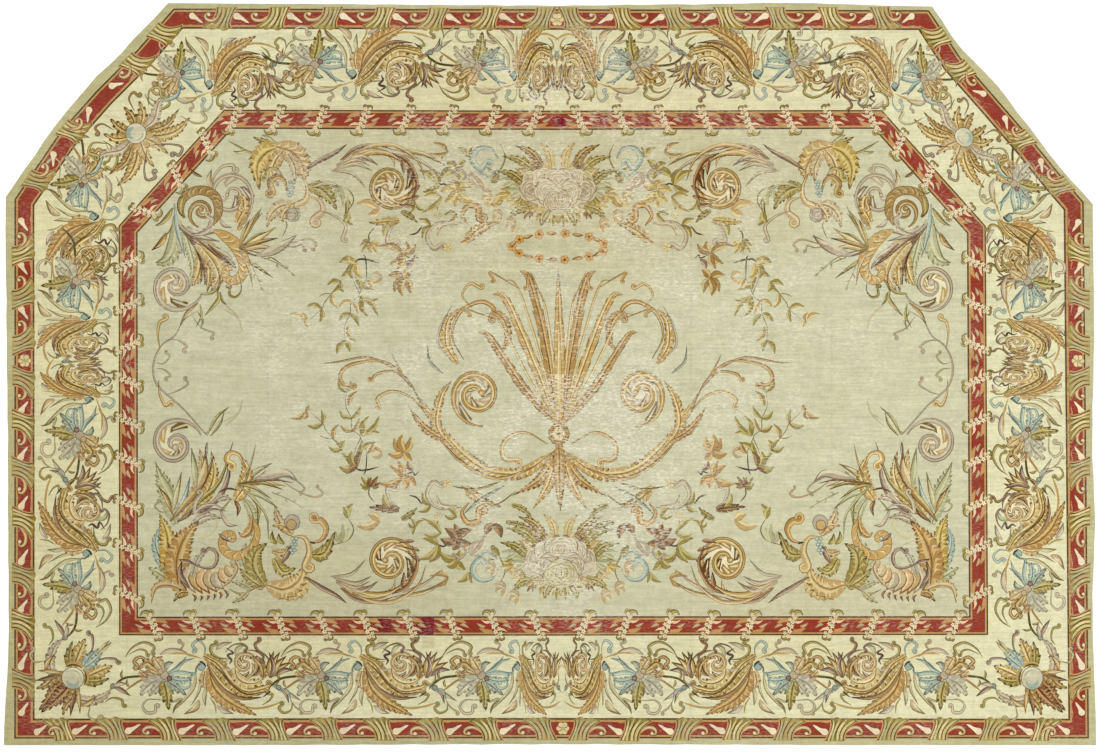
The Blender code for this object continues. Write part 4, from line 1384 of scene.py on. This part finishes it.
medallion_half += drawn(
    (frond, 4.8, "amber", 229+182j, 223+172j, 224+160j, 232+153j),
    (curl, 2.2, "copper", 232+180j, 226+168j, 230+156j, 240+150.6j, 247+154j, 245+159j),
    (curl, 1.6, "amber", 236+154j, 231+147.6j, 235+141.6j, 240+144j),
    (frond, 4.4, "copper", 246+155j, 252+160j, 254+170j, 248+178j),
    (leaf, 1.4, "lilac", 224+178j, 219+172j, 221+162j, 226+153j),
    (leaf, 1.6, "steel", 222+187j, 215+181j, 214+173j),
)
# Loops and leaves under the palmette.
medallion_half += drawn(
    (curl, 2.4, "amber", 274+222j, 262+216j, 252+221j, 252+229j, 259+230j),
    (frond, 5.4, "copper", 278+228j, 270+240j, 256+248j),
)
medallion_half += plume([278.6+228j, 274+243j, 266+255j], 5.2, "amber")
medallion_half += drawn(
    (leaf, 1.6, "olive", 250+241j, 238+244.6j, 226+243j),
    (leaf, 1.8, "steel", 252+243j, 240+250j, 232+257j),
    (curl, 1.2, "olive", 258+246j, 249+252j, 244+250j),
)
# The palmette, from its outer plume to its middle one. The tips turn outwards.
for tip, high, low, width, family in (
        (239+166j, 245+169j, 262+194j, 4.4, "copper"), (246+147j, 253+150j, 267+182j, 4.8, "amber"),
        (259.6+135j, 265+141j, 273+174j, 5.0, "copper"),
):
    medallion_half += plume([278.6+212j, low, high, tip], width, family)
for tip, high, low in (
        (240+157j, 249+160j, 265+190j), (252+140j, 259+144j, 270+178j),
        (268.6+144j, 272+151j, 276+176j),
):
    medallion_half += leaf([278.6+212j, low, high, tip], 1.5, "ochre_pale", 4)
    medallion_half += curl([high, 2 * tip - high, tip - 5], 1.3, "amber")
print("medallion half:", len(medallion_half), "patches")


medallion_middle = plume([279.6+214j, 279.5+185j, 279.3+158j, 279.2+133j], 5.6, "amber")
medallion_middle += plume([279.6+222j, 279.8+238j, 280+256j], 6.4, "copper")
medallion_middle += drawn(
    (leaf, 2.6, "ochre_pale", 279.4+206j, 279.4+182j, 279.3+150j),
    (bead, 5.6, "copper", 279.6+217j),
    (bead, 4.2, "amber", 279.6+217j),
)
medallion_middle += rosette(279.6+217j, 3.4, 6, "amber", "copper_dark")
# An oval wreath of gold buds and little leaves above it.
for k in range(22):
    way = np.exp(2j * np.pi * k / 22)
    at = 279.3+123.4j + 23.4 * way.real + 6.6j * way.imag
    if k % 2:
        medallion_middle += rosette(at, 2.5, 5, "wreath", "copper_dark", k)
    else:
        step = np.exp(1j * np.arctan2(6.6 * way.real, -23.4 * way.imag))
        medallion_middle += leaf([at - 2.8 * step, at, at + 2.8 * step], 2.0, "copper", 3, 0.3)
print("medallion middle:", len(medallion_middle), "patches")

# %% [markdown]
# The cartoon is the bands and fields, then a few square mends in newer wool, then both halves, and the
# middle last. A slow wave of a few millimetres goes through all of it, because no hand-woven line is
# straight.

# %% Whole cartoon
SLOW_WAVE = 0.22
QUICK_WAVE = 0.1


def wavered(outline):
    """The small unevenness of hand weaving: slow waves of a few millimetres."""
    x, y = outline.real, outline.imag
    dx = SLOW_WAVE * np.sin(0.071 * y + 1.3) * np.cos(0.043 * x) + QUICK_WAVE * np.sin(0.31 * x + 0.23 * y)
    dy = SLOW_WAVE * np.sin(0.063 * x + 0.4) * np.cos(0.051 * y) + QUICK_WAVE * np.sin(0.27 * y - 0.19 * x)
    return outline + dx + 1j * dy


def cartoon():
    """All the patches, from the ground up. Each is an outline and the name of its dye."""
    half = border_half + turns_half + guard_half + chains_half
    half += side_vines + upper_cluster + lower_cluster + garlands
    half += place(big_scroll, 152+93.4j) + place(big_scroll, 152+280j, 1, -1j)
    half += medallion_half
    half += place(bouquet(TOP_ROSES), 278.9+91j) + place(bouquet(LOW_ROSES), 280.6+277j)
    both = []
    for outline, dye in half:
        both += [(outline, dye), (to_right(outline)[::-1], dye)]
    square = np.array([-1-1j, 1-0.9j, 0.9+1j, -1.1+1j])
    mends = []
    for centre, size, dye in (
            (192.4+312.6j, 3.4, "crimson"), (212.6+312.8j, 4.4, "crimson"), (280.6+60.6j, 2.4, "crimson"),
            (191+321.6j, 2.6, "ash_leaf_light"), (214+321.4j, 3.0, "ash_leaf_light"),
    ):
        mends.append((centre + size * square, dye))
    return [(wavered(outline), dye) for outline, dye in ground + mends + both + medallion_middle]


patches = cartoon()
print("cartoon:", len(patches), "patches")

# %% [markdown]
# The drawing is inlaid in the cloth, as it is on the loom: the mesh is cut along the edges of the patches,
# and each triangle takes the dye of the topmost patch over its middle. An image on a plain sheet would blur
# close up, and raised leaves would be wrong, because a tapestry's face is even. The cloth's rim comes from
# the frame, so that the outline is the solid's own.

# %% The rim
CARTOON_MIDDLE = 275 + 187j
METRE = 100.0


def rim_of(node):
    """The outline of a flat solid seen from above, as complex numbers in metres, in order around it."""
    mesh = node.data
    place = node.matrix_world
    points = {}
    uses = defaultdict(list)
    for polygon in mesh.polygons:
        if polygon.normal.z < 0.5:
            continue
        keys = []
        for index in polygon.vertices:
            at = place @ mesh.vertices[index].co
            key = (round(at.x, 4), round(at.y, 4))
            points[key] = complex(at.x, at.y)
            keys.append(key)
        for a, b in zip(keys, keys[1:] + keys[:1]):
            uses[frozenset((a, b))].append((a, b))
    following = dict(pairs[0] for pairs in uses.values() if len(pairs) == 1)
    start = min(following)
    loop = [start]
    while following[loop[-1]] != start:
        loop.append(following[loop[-1]])
    return np.array([points[key] for key in loop])


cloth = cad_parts["tapestry"]
rim = rim_of(cloth)
print("rim:", len(rim), "points")

# %% [markdown]
# The cloth isn't quite flat: a few low ripples and creases lift it by three millimetres. They are the same
# as in the solid, a rounded hump along a short line, written as one formula.

# %% Folds
THICKNESS = 0.003
Fold = namedtuple("Fold", "name x y angle length half height")
FOLDS = (
    Fold("upper left ripple", -0.29, 0.590, -22, 0.34, 0.030, 0.0030),
    Fold("middle left ripple", -0.42, 0.545, -15, 0.44, 0.028, 0.0034),
    Fold("lower left ripple", -0.46, 0.475, -3, 0.60, 0.032, 0.0028),
    Fold("upper right ripple", 0.51, 0.565, -10, 0.56, 0.030, 0.0032),
    Fold("lower right ripple", 0.50, 0.480, -8, 0.42, 0.030, 0.0026),
    Fold("long left crease", -1.20, -0.020, -72, 0.62, 0.036, 0.0034),
    Fold("short left crease", -1.53, 0.110, -78, 0.42, 0.034, 0.0026),
    Fold("middle crease", -0.63, 0.300, -77, 0.40, 0.032, 0.0024),
    Fold("right crease", 1.33, 0.050, 84, 0.52, 0.036, 0.0024),
)


def lift(p):
    """How far the folds raise the cloth at these points, in metres."""
    height = np.zeros(len(p))
    for fold in FOLDS:
        local = (p - complex(fold.x, fold.y)) * np.exp(-1j * np.radians(fold.angle))
        along = local.real / (fold.length / 2)
        across = local.imag / fold.half
        inside = (abs(along) < 1) & (abs(across) < 1)
        height += np.where(inside, fold.height * (1 - along ** 2) ** 2 * (1 - across ** 2) ** 2, 0)
    return height


def fold_grid(fold, steps=24, rows=9):
    """Points close together over a fold, so that its rounded section shows."""
    along, across = np.meshgrid(np.linspace(-0.5, 0.5, steps), np.linspace(-1, 1, rows))
    local = along * fold.length + 1j * across * fold.half
    return (complex(fold.x, fold.y) + local * np.exp(1j * np.radians(fold.angle))).ravel()


print("folds:", len(FOLDS), "and the highest is", max(fold.height for fold in FOLDS), "m")

# %% [markdown]
# One Delaunay triangulation takes all the edges at once and splits them where they cross. The edges that lie
# under a later patch would only make triangles that nobody sees, so they are left out first.

# %% Inlay
MOST_AT_ONCE = 2_000_000
EDGE_SAMPLES = (0.04, 0.5, 0.96)


def inside(outline, p):
    """Which of these points the outline winds around. Many points are taken in parts, to save memory."""
    if len(outline) * len(p) > MOST_AT_ONCE and len(p) > 1:
        return np.concatenate([inside(outline, part) for part in np.array_split(p, 2)])
    a, b = outline[:, None], np.roll(outline, -1)[:, None]
    up = (a.imag <= p.imag) & (b.imag > p.imag)
    down = (a.imag > p.imag) & (b.imag <= p.imag)
    side = (np.conj(b - a) * (p - a)).imag
    return (np.where(up & (side > 0), 1, 0) - np.where(down & (side < 0), 1, 0)).sum(0) != 0


class Finder:
    """Finds points by their box, from a sorted grid of cells."""

    def __init__(self, p, cell=4.0):
        self.p, self.cell = p, cell
        self.columns = int(p.real.max() / cell) + 2
        column = (np.maximum(p.real, 0) / cell).astype(int)
        row = (np.maximum(p.imag, 0) / cell).astype(int)
        self.cells = column + self.columns * row
        self.order = np.argsort(self.cells, kind="stable")
        self.sorted = self.cells[self.order]

    def near(self, outline):
        """The numbers of the points in the outline's box."""
        low_x, high_x = (max(int(v / self.cell), 0) for v in (outline.real.min(), outline.real.max()))
        low_y, high_y = (max(int(v / self.cell), 0) for v in (outline.imag.min(), outline.imag.max()))
        found = []
        for row in range(low_y, high_y + 1):
            first = np.searchsorted(self.sorted, row * self.columns + low_x)
            last = np.searchsorted(self.sorted, row * self.columns + high_x + 1)
            found.append(self.order[first:last])
        found = np.concatenate(found)
        p = self.p[found]
        box = (p.real >= outline.real.min()) & (p.real <= outline.real.max())
        box &= (p.imag >= outline.imag.min()) & (p.imag <= outline.imag.max())
        return found[box]


def topmost(patches, p):
    """The number of the topmost patch over each point, or -1."""
    top = np.full(len(p), -1)
    finder = Finder(p)
    for number, (outline, dye) in enumerate(patches):
        near = finder.near(outline)
        if len(near):
            hit = near[inside(outline, p[near])]
            top[hit] = number
    return top


def showing_edges(patches):
    """The edges that no later patch covers, as pairs of complex numbers."""
    starts = np.concatenate([outline for outline, dye in patches])
    ends = np.concatenate([np.roll(outline, -1) for outline, dye in patches])
    owner = np.repeat(np.arange(len(patches)), [len(outline) for outline, dye in patches])
    shows = np.zeros(len(starts), bool)
    for share in EDGE_SAMPLES:
        shows |= topmost(patches, starts + share * (ends - starts)) <= owner
    return starts[shows], ends[shows]


def to_metres(p):
    """A point of the cartoon in the frame's metres, with y up."""
    return np.conj(p - CARTOON_MIDDLE) / METRE


starts, ends = (to_metres(p) for p in showing_edges(patches))
print(len(starts), "edges show")

# %% [markdown]
# No join is clear in the photograph, so eight even widths are a guess, and their joins are only faint
# upright lines. Each width is a piece of its own, which keeps the pieces light as well. The joins are cut
# into the triangulation, so that neighbours fit exactly.

# %% Triangles
JOINS = (-2.115, -1.410, -0.705, 0.0, 0.705, 1.410, 2.115)
GRID = 0.06
MERGE = 1e-5
PAST_THE_RIM = 3


def grid_inside(outline, step):
    """An even grid of points inside the rim, to carry the cloth's shading."""
    x = np.arange(outline.real.min() + step / 2, outline.real.max(), step)
    y = np.arange(outline.imag.min() + step / 2, outline.imag.max(), step)
    p = (x[:, None] + 1j * y).ravel()
    return p[inside(outline, p)]


def triangulate(starts, ends, loose):
    """Delaunay triangles that keep the given edges: their points, and three numbers for each."""
    tidy = np.round(np.concatenate([starts, ends, loose]), 5)
    points, numbers = np.unique(tidy, return_inverse=True)
    pairs = numbers[:2 * len(starts)].reshape(2, -1).T
    pairs = pairs[pairs[:, 0] != pairs[:, 1]]
    flat = [Vector((p.real, p.imag)) for p in points]
    made = delaunay_2d_cdt(flat, pairs.tolist(), [], 0, MERGE, False)
    return np.array([complex(*p) for p in made[0]]), np.array(made[2])


join_ends = np.array([complex(x, y) for x in JOINS for y in (-PAST_THE_RIM, PAST_THE_RIM)]).reshape(-1, 2)
all_starts = np.concatenate([starts, rim, join_ends[:, 0]])
all_ends = np.concatenate([ends, np.roll(rim, -1), join_ends[:, 1]])
loose = np.concatenate([grid_inside(rim, GRID)] + [fold_grid(fold) for fold in FOLDS])
points, triangles = triangulate(all_starts, all_ends, loose)
middles = points[triangles].mean(1)
in_cloth = inside(rim, middles)
triangles, middles = triangles[in_cloth], middles[in_cloth]
owners = topmost(patches, np.conj(middles) * METRE + CARTOON_MIDDLE)
print("triangles on the face:", len(triangles))

# %% [markdown]
# No two skeins came out of the dye bath quite alike, so every patch gets its own slight tint. The dye goes
# into a colour attribute on the mesh, which the material reads.

# %% Tints
SEED = 7
LIGHTNESS_SPREAD = 0.035
HUE_SPREAD = 0.012
random = np.random.default_rng(SEED)


def linear(colour):
    """An sRGB colour from 0 to 255 as linear light."""
    c = np.array(colour) / 255
    return np.where(c < 0.04045, c / 12.92, ((c + 0.055) / 1.055) ** 2.4)


names = ["selvedge"] + [dye for outline, dye in patches]
GROUNDS = {"field", "cream", "selvedge", "umber", "buff", "brick"}
spread = np.array([0.0 if name in GROUNDS else 1.0 for name in names])
lightness = LIGHTNESS_SPREAD * random.standard_normal((len(names), 1))
hue = HUE_SPREAD * random.standard_normal((len(names), 3))
tints = 1 + spread[:, None] * (lightness + hue)
colours = np.array([linear(DYES[name]) for name in names]) * tints
print("dyes:", len(DYES), "tints:", len(colours))

# %% [markdown]
# Each width becomes a closed sheet: its face, its back and the rim between them. The back lies on the floor
# and is never seen, so it is a plain coarse sheet with the face's own rim points, which saves half the
# triangles.

# %% Loom widths
CLEAR = 0.001
SEARCH_PARTS = 16
SHARP_ANGLE = 40
coarse = np.concatenate([grid_inside(rim, 2 * GRID)] + [fold_grid(fold) for fold in FOLDS])


def plain_back(edge_starts, edge_ends, left, right):
    """A coarse triangulation inside the given edges: points, triangles, and each edge start's number."""
    loose = coarse[(coarse.real > left + CLEAR) & (coarse.real < right - CLEAR)]
    back, faces = triangulate(edge_starts, edge_ends, loose)
    middle = back[faces].mean(1)
    faces = faces[inside(rim, middle) & (middle.real > left) & (middle.real <= right)]
    nearest_back = [abs(back - part[:, None]).argmin(1)
                    for part in np.array_split(edge_starts, SEARCH_PARTS)]
    return back, faces, np.concatenate(nearest_back)


def closed_sheet(name, chosen, left, right):
    """One loom width: its face with the dyes, its plain back, and the rim between them."""
    used, numbers = np.unique(triangles[chosen], return_inverse=True)
    face = numbers.reshape(-1, 3)
    p = points[used]
    count = len(p)
    first, second = face[:, [0, 1, 2]].ravel(), face[:, [1, 2, 0]].ravel()
    rim_edges = ~np.isin(first * count + second, second * count + first)
    a, b = first[rim_edges], second[rim_edges]
    back, back_faces, numbers_below = plain_back(p[a], p[b], left, right)
    below = np.zeros(count, int)
    below[a] = count + numbers_below
    sides_low = np.stack([below[a], below[b], b], 1)
    sides_high = np.stack([below[a], b, a], 1)
    faces = np.concatenate([face, sides_low, sides_high, count + back_faces[:, ::-1]])
    edge_owner = np.repeat(np.arange(len(face)), 3)[rim_edges]
    dye = owners[chosen] + 1
    face_dye = np.concatenate([dye, dye[edge_owner], dye[edge_owner], np.zeros(len(back_faces), int)])
    xyz = np.zeros((count + len(back), 3))
    xyz[:count] = np.stack([p.real, p.imag, lift(p) + THICKNESS], 1)
    xyz[count:] = np.stack([back.real, back.imag, lift(back)], 1)
    mesh = bpy.data.meshes.new(name)
    mesh.vertices.add(len(xyz))
    mesh.vertices.foreach_set("co", xyz.astype(np.float32).ravel())
    mesh.loops.add(len(faces) * 3)
    mesh.loops.foreach_set("vertex_index", faces.astype(np.int32).ravel())
    mesh.polygons.add(len(faces))
    mesh.polygons.foreach_set("loop_start", np.arange(0, len(faces) * 3, 3, dtype=np.int32))
    mesh.update(calc_edges=True)
    shade = mesh.color_attributes.new("dye", "FLOAT_COLOR", "CORNER")
    rgb = colours[face_dye]
    rgba = np.repeat(np.concatenate([rgb, np.ones((len(rgb), 1))], 1), 3, 0)
    shade.data.foreach_set("color", rgba.astype(np.float32).ravel())
    mesh.validate()
    mesh.shade_smooth()
    mesh.set_sharp_from_angle(angle=np.radians(SHARP_ANGLE))
    piece = bpy.data.objects.new(name, mesh)
    bpy.context.scene.collection.objects.link(piece)
    return piece


edges_x = (rim.real.min() - 0.1, *JOINS, rim.real.max() + 0.1)
widths = []
for number, (left, right) in enumerate(zip(edges_x, edges_x[1:]), 1):
    chosen = np.flatnonzero((middles.real > left) & (middles.real <= right))
    piece = closed_sheet(f"loom_width_{number}", chosen, left, right)
    p = points[triangles[chosen]]
    area = abs((np.conj(p[:, 1] - p[:, 0]) * (p[:, 2] - p[:, 0])).imag).sum() / 2
    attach(piece, "root")
    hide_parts("tapestry")
    widths.append(piece)

# %% [markdown]
# A material is a small sum of masks. To write it as maths, a thin wrapper around a socket overloads the
# Python operators: an expression on values adds Math nodes, and colours go through Mix nodes.

# %% Shader maths
class Value:
    """A number that changes over the surface."""

    def __init__(self, maker, socket):
        self.maker = maker
        self.socket = socket

    def _math(self, operation, *others):
        return self.maker.node("ShaderNodeMath", {"operation": operation}, dict(enumerate(others)))

    def __add__(self, other):
        return self._math("ADD", self, other)

    __radd__ = __add__

    def __sub__(self, other):
        return self._math("SUBTRACT", self, other)

    def __rsub__(self, other):
        return self._math("SUBTRACT", other, self)

    def __mul__(self, other):
        return self._math("MULTIPLY", self, other)

    __rmul__ = __mul__

    def __truediv__(self, other):
        return self._math("DIVIDE", self, other)

    def at_most(self, other):
        """The lesser of the two."""
        return self._math("MINIMUM", self, other)

    def size(self):
        """How far from 0 it is."""
        return self._math("ABSOLUTE", self)

    def between(self, low, high):
        """0 below low, 1 above high, and smooth between them."""
        smooth_step = {"interpolation_type": "SMOOTHSTEP"}
        return self.maker.node("ShaderNodeMapRange", smooth_step,
                               {0: self, 1: low, 2: high, 3: 0.0, 4: 1.0})


class Maker:
    """Makes the nodes of one material."""

    def __init__(self, name):
        self.material = bpy.data.materials.new(name)
        self.material.use_nodes = True
        self.tree = self.material.node_tree
        self.shader = self.tree.nodes["Principled BSDF"]

    def node(self, kind, settings=None, inputs=None, output=0):
        """Adds a node: first its settings, then the values or links of its sockets."""
        node = self.tree.nodes.new(kind)
        for name, value in (settings or {}).items():
            if name == "stops":
                self.set_stops(node, value)
            else:
                setattr(node, name, value)
        self.feed(node, inputs or {})
        return Value(self, node.outputs[output])

    def feed(self, node, inputs):
        """Links a node's values to its sockets, and sets the plain ones."""
        for socket, value in inputs.items():
            if isinstance(value, Value):
                self.tree.links.new(value.socket, node.inputs[socket])
            else:
                node.inputs[socket].default_value = value

    def set_stops(self, node, stops):
        """Gives a colour ramp its stops."""
        ramp = node.color_ramp
        while len(ramp.elements) < len(stops):
            ramp.elements.new(1.0)
        for element, (place, value) in zip(ramp.elements, stops):
            element.position = place
            element.color = (value, value, value, 1.0)

    def noise(self, vector, scale, detail=2.0, roughness=0.5, distortion=0.0):
        """Soft random values around 0.5."""
        inputs = {"Vector": vector, "Scale": scale, "Detail": detail, "Roughness": roughness,
                  "Distortion": distortion}
        return self.node("ShaderNodeTexNoise", {}, inputs)

    def mix(self, share, a, b, blend="MIX"):
        """A colour between two colours."""
        return self.node("ShaderNodeMix", {"data_type": "RGBA", "blend_type": blend},
                         {0: share, 6: a, 7: b}, 2)

    def stretched(self, vector, x, y, z=1.0):
        """The place times these factors, so that a noise gets long one way."""
        return self.node("ShaderNodeVectorMath", {"operation": "MULTIPLY"}, {0: vector, 1: (x, y, z)})


def paint(colour):
    """An sRGB colour as a socket takes it."""
    return (*(float(v) for v in linear(colour)), 1.0)


print("mid grey as a socket takes it:", [round(v, 3) for v in paint((128, 128, 128))])

# %% [markdown]
# On the real cloth the dye isn't even: the wefts changed from skein to skein, which left fine streaks along
# them. The left border has yellowed, and the middle was walked on until the pale warp showed through.
# Painted shade darkens the hollows between the ribs, and painted highlights lie along soft creases. Each of
# these is a mask over the dye.

# %% Woven wool
RIB_PITCH = 0.003
WEFT_PITCH = 0.0014
BUMP_HEIGHT = 0.0007
BUMP_STRENGTH = 0.55
JOIN_FADE = (0.0015, 0.0055)
FADED_WOOL = (206, 198, 162)
YELLOWED = (252, 240, 196)
SMOKED = (238, 226, 204)
BARE_WARP = (232, 228, 208)
ROTTED = (96, 62, 50)


def worn_wool():
    """The cloth's material: a dye from the mesh, under masks for tone, age, wear, weave and painted light.
    """
    make = Maker("faded_wool")
    place = make.node("ShaderNodeTexCoord", output=3)
    parts = make.tree.nodes.new("ShaderNodeSeparateXYZ")
    make.feed(parts, {0: place})
    x, y = (Value(make, parts.outputs[k]) for k in (0, 1))

    def spot(at_x, at_y, half_x, half_y):
        """1 in the middle of an oval, and 0 outside it."""
        across, up = (x - at_x) / half_x, (y - at_y) / half_y
        return 1 - (across * across + up * up).between(0.15, 1.0)

    dye = make.node("ShaderNodeVertexColor", {"layer_name": "dye"})
    fine = make.noise(place, 70.0, 3.0, 0.6)
    grain = make.noise(place, 190.0, 2.0, 0.7)
    blotch = make.noise(place, 7.0, 4.0, 0.6)
    broad = make.noise(place, 1.1, 2.0)
    streak = make.noise(make.stretched(place, 6.0, 90.0), 1.0, 3.0, 0.65).between(0.25, 0.75)
    bars = make.noise(make.stretched(place, 0.6, 18.0), 1.0, 3.0).between(0.3, 0.7)
    cloudy = make.noise(place, 22.0, 4.0, 0.7).between(0.3, 0.7)
    light = 0.325 + 0.20 * fine + 0.16 * grain + 0.12 * blotch + 0.13 * streak + 0.05 * bars + 0.09 * cloudy
    # The whole cloth is darker towards its left and lighter towards its right.
    light = light * (0.91 + 0.22 * x.between(-2.4, 2.6))

    # Faded and yellowed dye.
    colour = make.mix(0.02, dye, paint(FADED_WOOL))
    yellow = (1 - x.between(-2.75, -1.6)) * 0.22 + 0.10 * broad
    colour = make.mix(yellow, colour, make.mix(1.0, colour, paint(YELLOWED), "MULTIPLY"))

    # Greyish yellow places along the upper edge of the field and in its lower corners.
    smoky = spot(0.0, 1.05, 1.9, 0.85) + 0.8 * spot(-1.2, -1.15, 1.1, 0.5) + 0.6 * spot(1.3, -1.2, 1.0, 0.4)
    smoky = (smoky * (0.35 + 0.9 * blotch)).at_most(1.0) * 0.5
    colour = make.mix(smoky, colour, make.mix(1.0, colour, paint(SMOKED), "MULTIPLY"))

    # Painted highlights along soft creases under the upper bouquet and in the walked-on middle.
    crease_highlights = make.noise(make.stretched(place, 1.4, 30.0), 1.0, 4.0, 0.6).between(0.56, 0.70)
    light = light + 0.07 * crease_highlights * (spot(0.0, 0.62, 1.7, 0.4) + 0.7 * spot(0.3, -0.4, 2.0, 1.0))

    # Worn places, where the pale warp shows in short crosswise flecks.
    flecks = make.noise(make.stretched(place, 42.0, 130.0), 1.0, 4.0, 0.75)
    patches_of_wear = make.noise(place, 3.4, 4.0, 0.65)
    trodden = 1.1 * spot(0.1, -0.55, 0.66, 0.82) + 0.75 * spot(-0.1, 0.3, 2.2, 1.35)
    where = (trodden + 0.7 * spot(0.0, 1.50, 0.5, 0.32) + 0.22) * patches_of_wear.between(0.36, 0.66)
    wear = (flecks.between(0.46, 0.62) * where).at_most(0.85)
    colour = make.mix(wear, colour, paint(BARE_WARP))

    # Small dark places, where dark wefts have rotted and dirt has stayed.
    rot = make.noise(place, 26.0, 2.0).between(0.70, 0.76) * spot(0.02, 1.45, 0.42, 0.26)
    rot = rot + make.noise(place, 34.0, 2.0).between(0.72, 0.78) * spot(-0.06, -0.1, 0.2, 0.5)
    colour = make.mix(rot.at_most(1.0) * 0.6, colour, paint(ROTTED))

    # The ribs of the weave, the joins between loom widths, and painted shade in the hollows between the
    # ribs.
    rib = make.node("ShaderNodeMath", {"operation": "SINE"}, {0: y * (2 * np.pi / RIB_PITCH)})
    weft = make.node("ShaderNodeMath", {"operation": "SINE"}, {0: x * (2 * np.pi / WEFT_PITCH) + 3.0 * rib})
    join = 0.0
    for at in JOINS:
        # There is no line in the middle, where it would cut through the ornament.
        if at:
            join = join + (1 - ((x - at).size() + 0.004 * streak).between(*JOIN_FADE))
    # The joins darken the dye in faint lines, and painted shade darkens the hollows between the ribs.
    light = light * (1 - 0.09 * join) * (0.985 + 0.02 * rib)
    grey = make.node("ShaderNodeCombineColor", {}, {0: light, 1: light, 2: light})
    colour = make.mix(1.0, colour, grey, "MULTIPLY")
    height = 0.5 * rib + 0.25 * weft + 1.4 * fine - 2.2 * join - 0.8 * wear
    bump = make.node("ShaderNodeBump", {},
                     {"Strength": BUMP_STRENGTH, "Distance": BUMP_HEIGHT, "Height": height})
    make.feed(make.shader, {
        "Base Color": colour, "Roughness": 0.86 + 0.12 * fine, "Normal": bump,
        "Metallic": 0.0, "Specular IOR Level": 0.03,
    })
    return make.material


wool = worn_wool()
for piece in widths:
    piece.data.materials.append(wool)
print("material:", wool.name, "with", len(wool.node_tree.nodes), "nodes")

# %% [markdown]
# The stage is plain: a pale floor, two large soft lights and a camera that looks straight down, as one
# photographs a carpet. The floor isn't part of the object.

# %% Floor
FLOOR_REACH = 12.0
PALE = (246, 246, 246)


def make_floor():
    """A flat square under the cloth, far wider than the picture."""
    mesh = bpy.data.meshes.new("floor")
    corners = [(x * FLOOR_REACH, y * FLOOR_REACH, 0.0) for x, y in ((-1, -1), (1, -1), (1, 1), (-1, 1))]
    mesh.from_pydata(corners, [], [(0, 1, 2, 3)])
    mesh.update()
    floor = bpy.data.objects.new("floor", mesh)
    bpy.context.scene.collection.objects.link(floor)
    make = Maker("pale_floor")
    make.feed(make.shader, {"Base Color": paint(PALE), "Roughness": 0.9, "Specular IOR Level": 0.1})
    mesh.materials.append(make.material)
    return floor


floor = make_floor()
print("floor:", [round(v, 1) for v in floor.dimensions])

# %% [markdown]
# Two soft lights of unlike strength, and an even sky, let the ribs and creases show without hard shadows.

# %% Lights
SKY = 0.72


def soft_light(name, at, size, watts):
    """A large square area light that faces the middle of the cloth."""
    data = bpy.data.lights.new(name, "AREA")
    data.size = size
    data.energy = watts
    light = bpy.data.objects.new(name, data)
    light.location = at
    light.rotation_euler = (-Vector(at)).to_track_quat("-Z", "Y").to_euler()
    bpy.context.scene.collection.objects.link(light)
    return light


soft_light("window_light", (-5.0, 3.0, 7.0), 6.0, 560)
soft_light("far_light", (5.0, -2.0, 8.0), 7.0, 420)
world = bpy.data.worlds.new("studio")
world.use_nodes = True
world.node_tree.nodes["Background"].inputs["Color"].default_value = (1.0, 1.0, 1.0, 1.0)
world.node_tree.nodes["Background"].inputs["Strength"].default_value = SKY
bpy.context.scene.world = world
bpy.context.scene.view_settings.view_transform = "Standard"
print("lights: 2, and an even white sky")

# %% [markdown]
# The camera stands far off with a long lens, so that the cloth's edges stay straight in the picture.

# %% Camera
IMAGE_WIDTH, IMAGE_HEIGHT = 1100, 753
SENSOR = 36.0
LENS = 85.0
FRAME_WIDTH = 5.5
IMAGE_MIDDLE_Y = -0.0125


def make_camera():
    """Straight down, so far off that the whole width of the picture takes in FRAME_WIDTH."""
    data = bpy.data.cameras.new("camera")
    data.sensor_width = SENSOR
    data.lens = LENS
    camera = bpy.data.objects.new("camera", data)
    camera.location = (0.0, IMAGE_MIDDLE_Y, FRAME_WIDTH * LENS / SENSOR)
    bpy.context.scene.collection.objects.link(camera)
    bpy.context.scene.camera = camera
    return camera


camera = make_camera()
print("camera height:", round(camera.location.z, 2), "m; picture:", FRAME_WIDTH, "by",
      round(FRAME_WIDTH * IMAGE_HEIGHT / IMAGE_WIDTH, 2), "m")
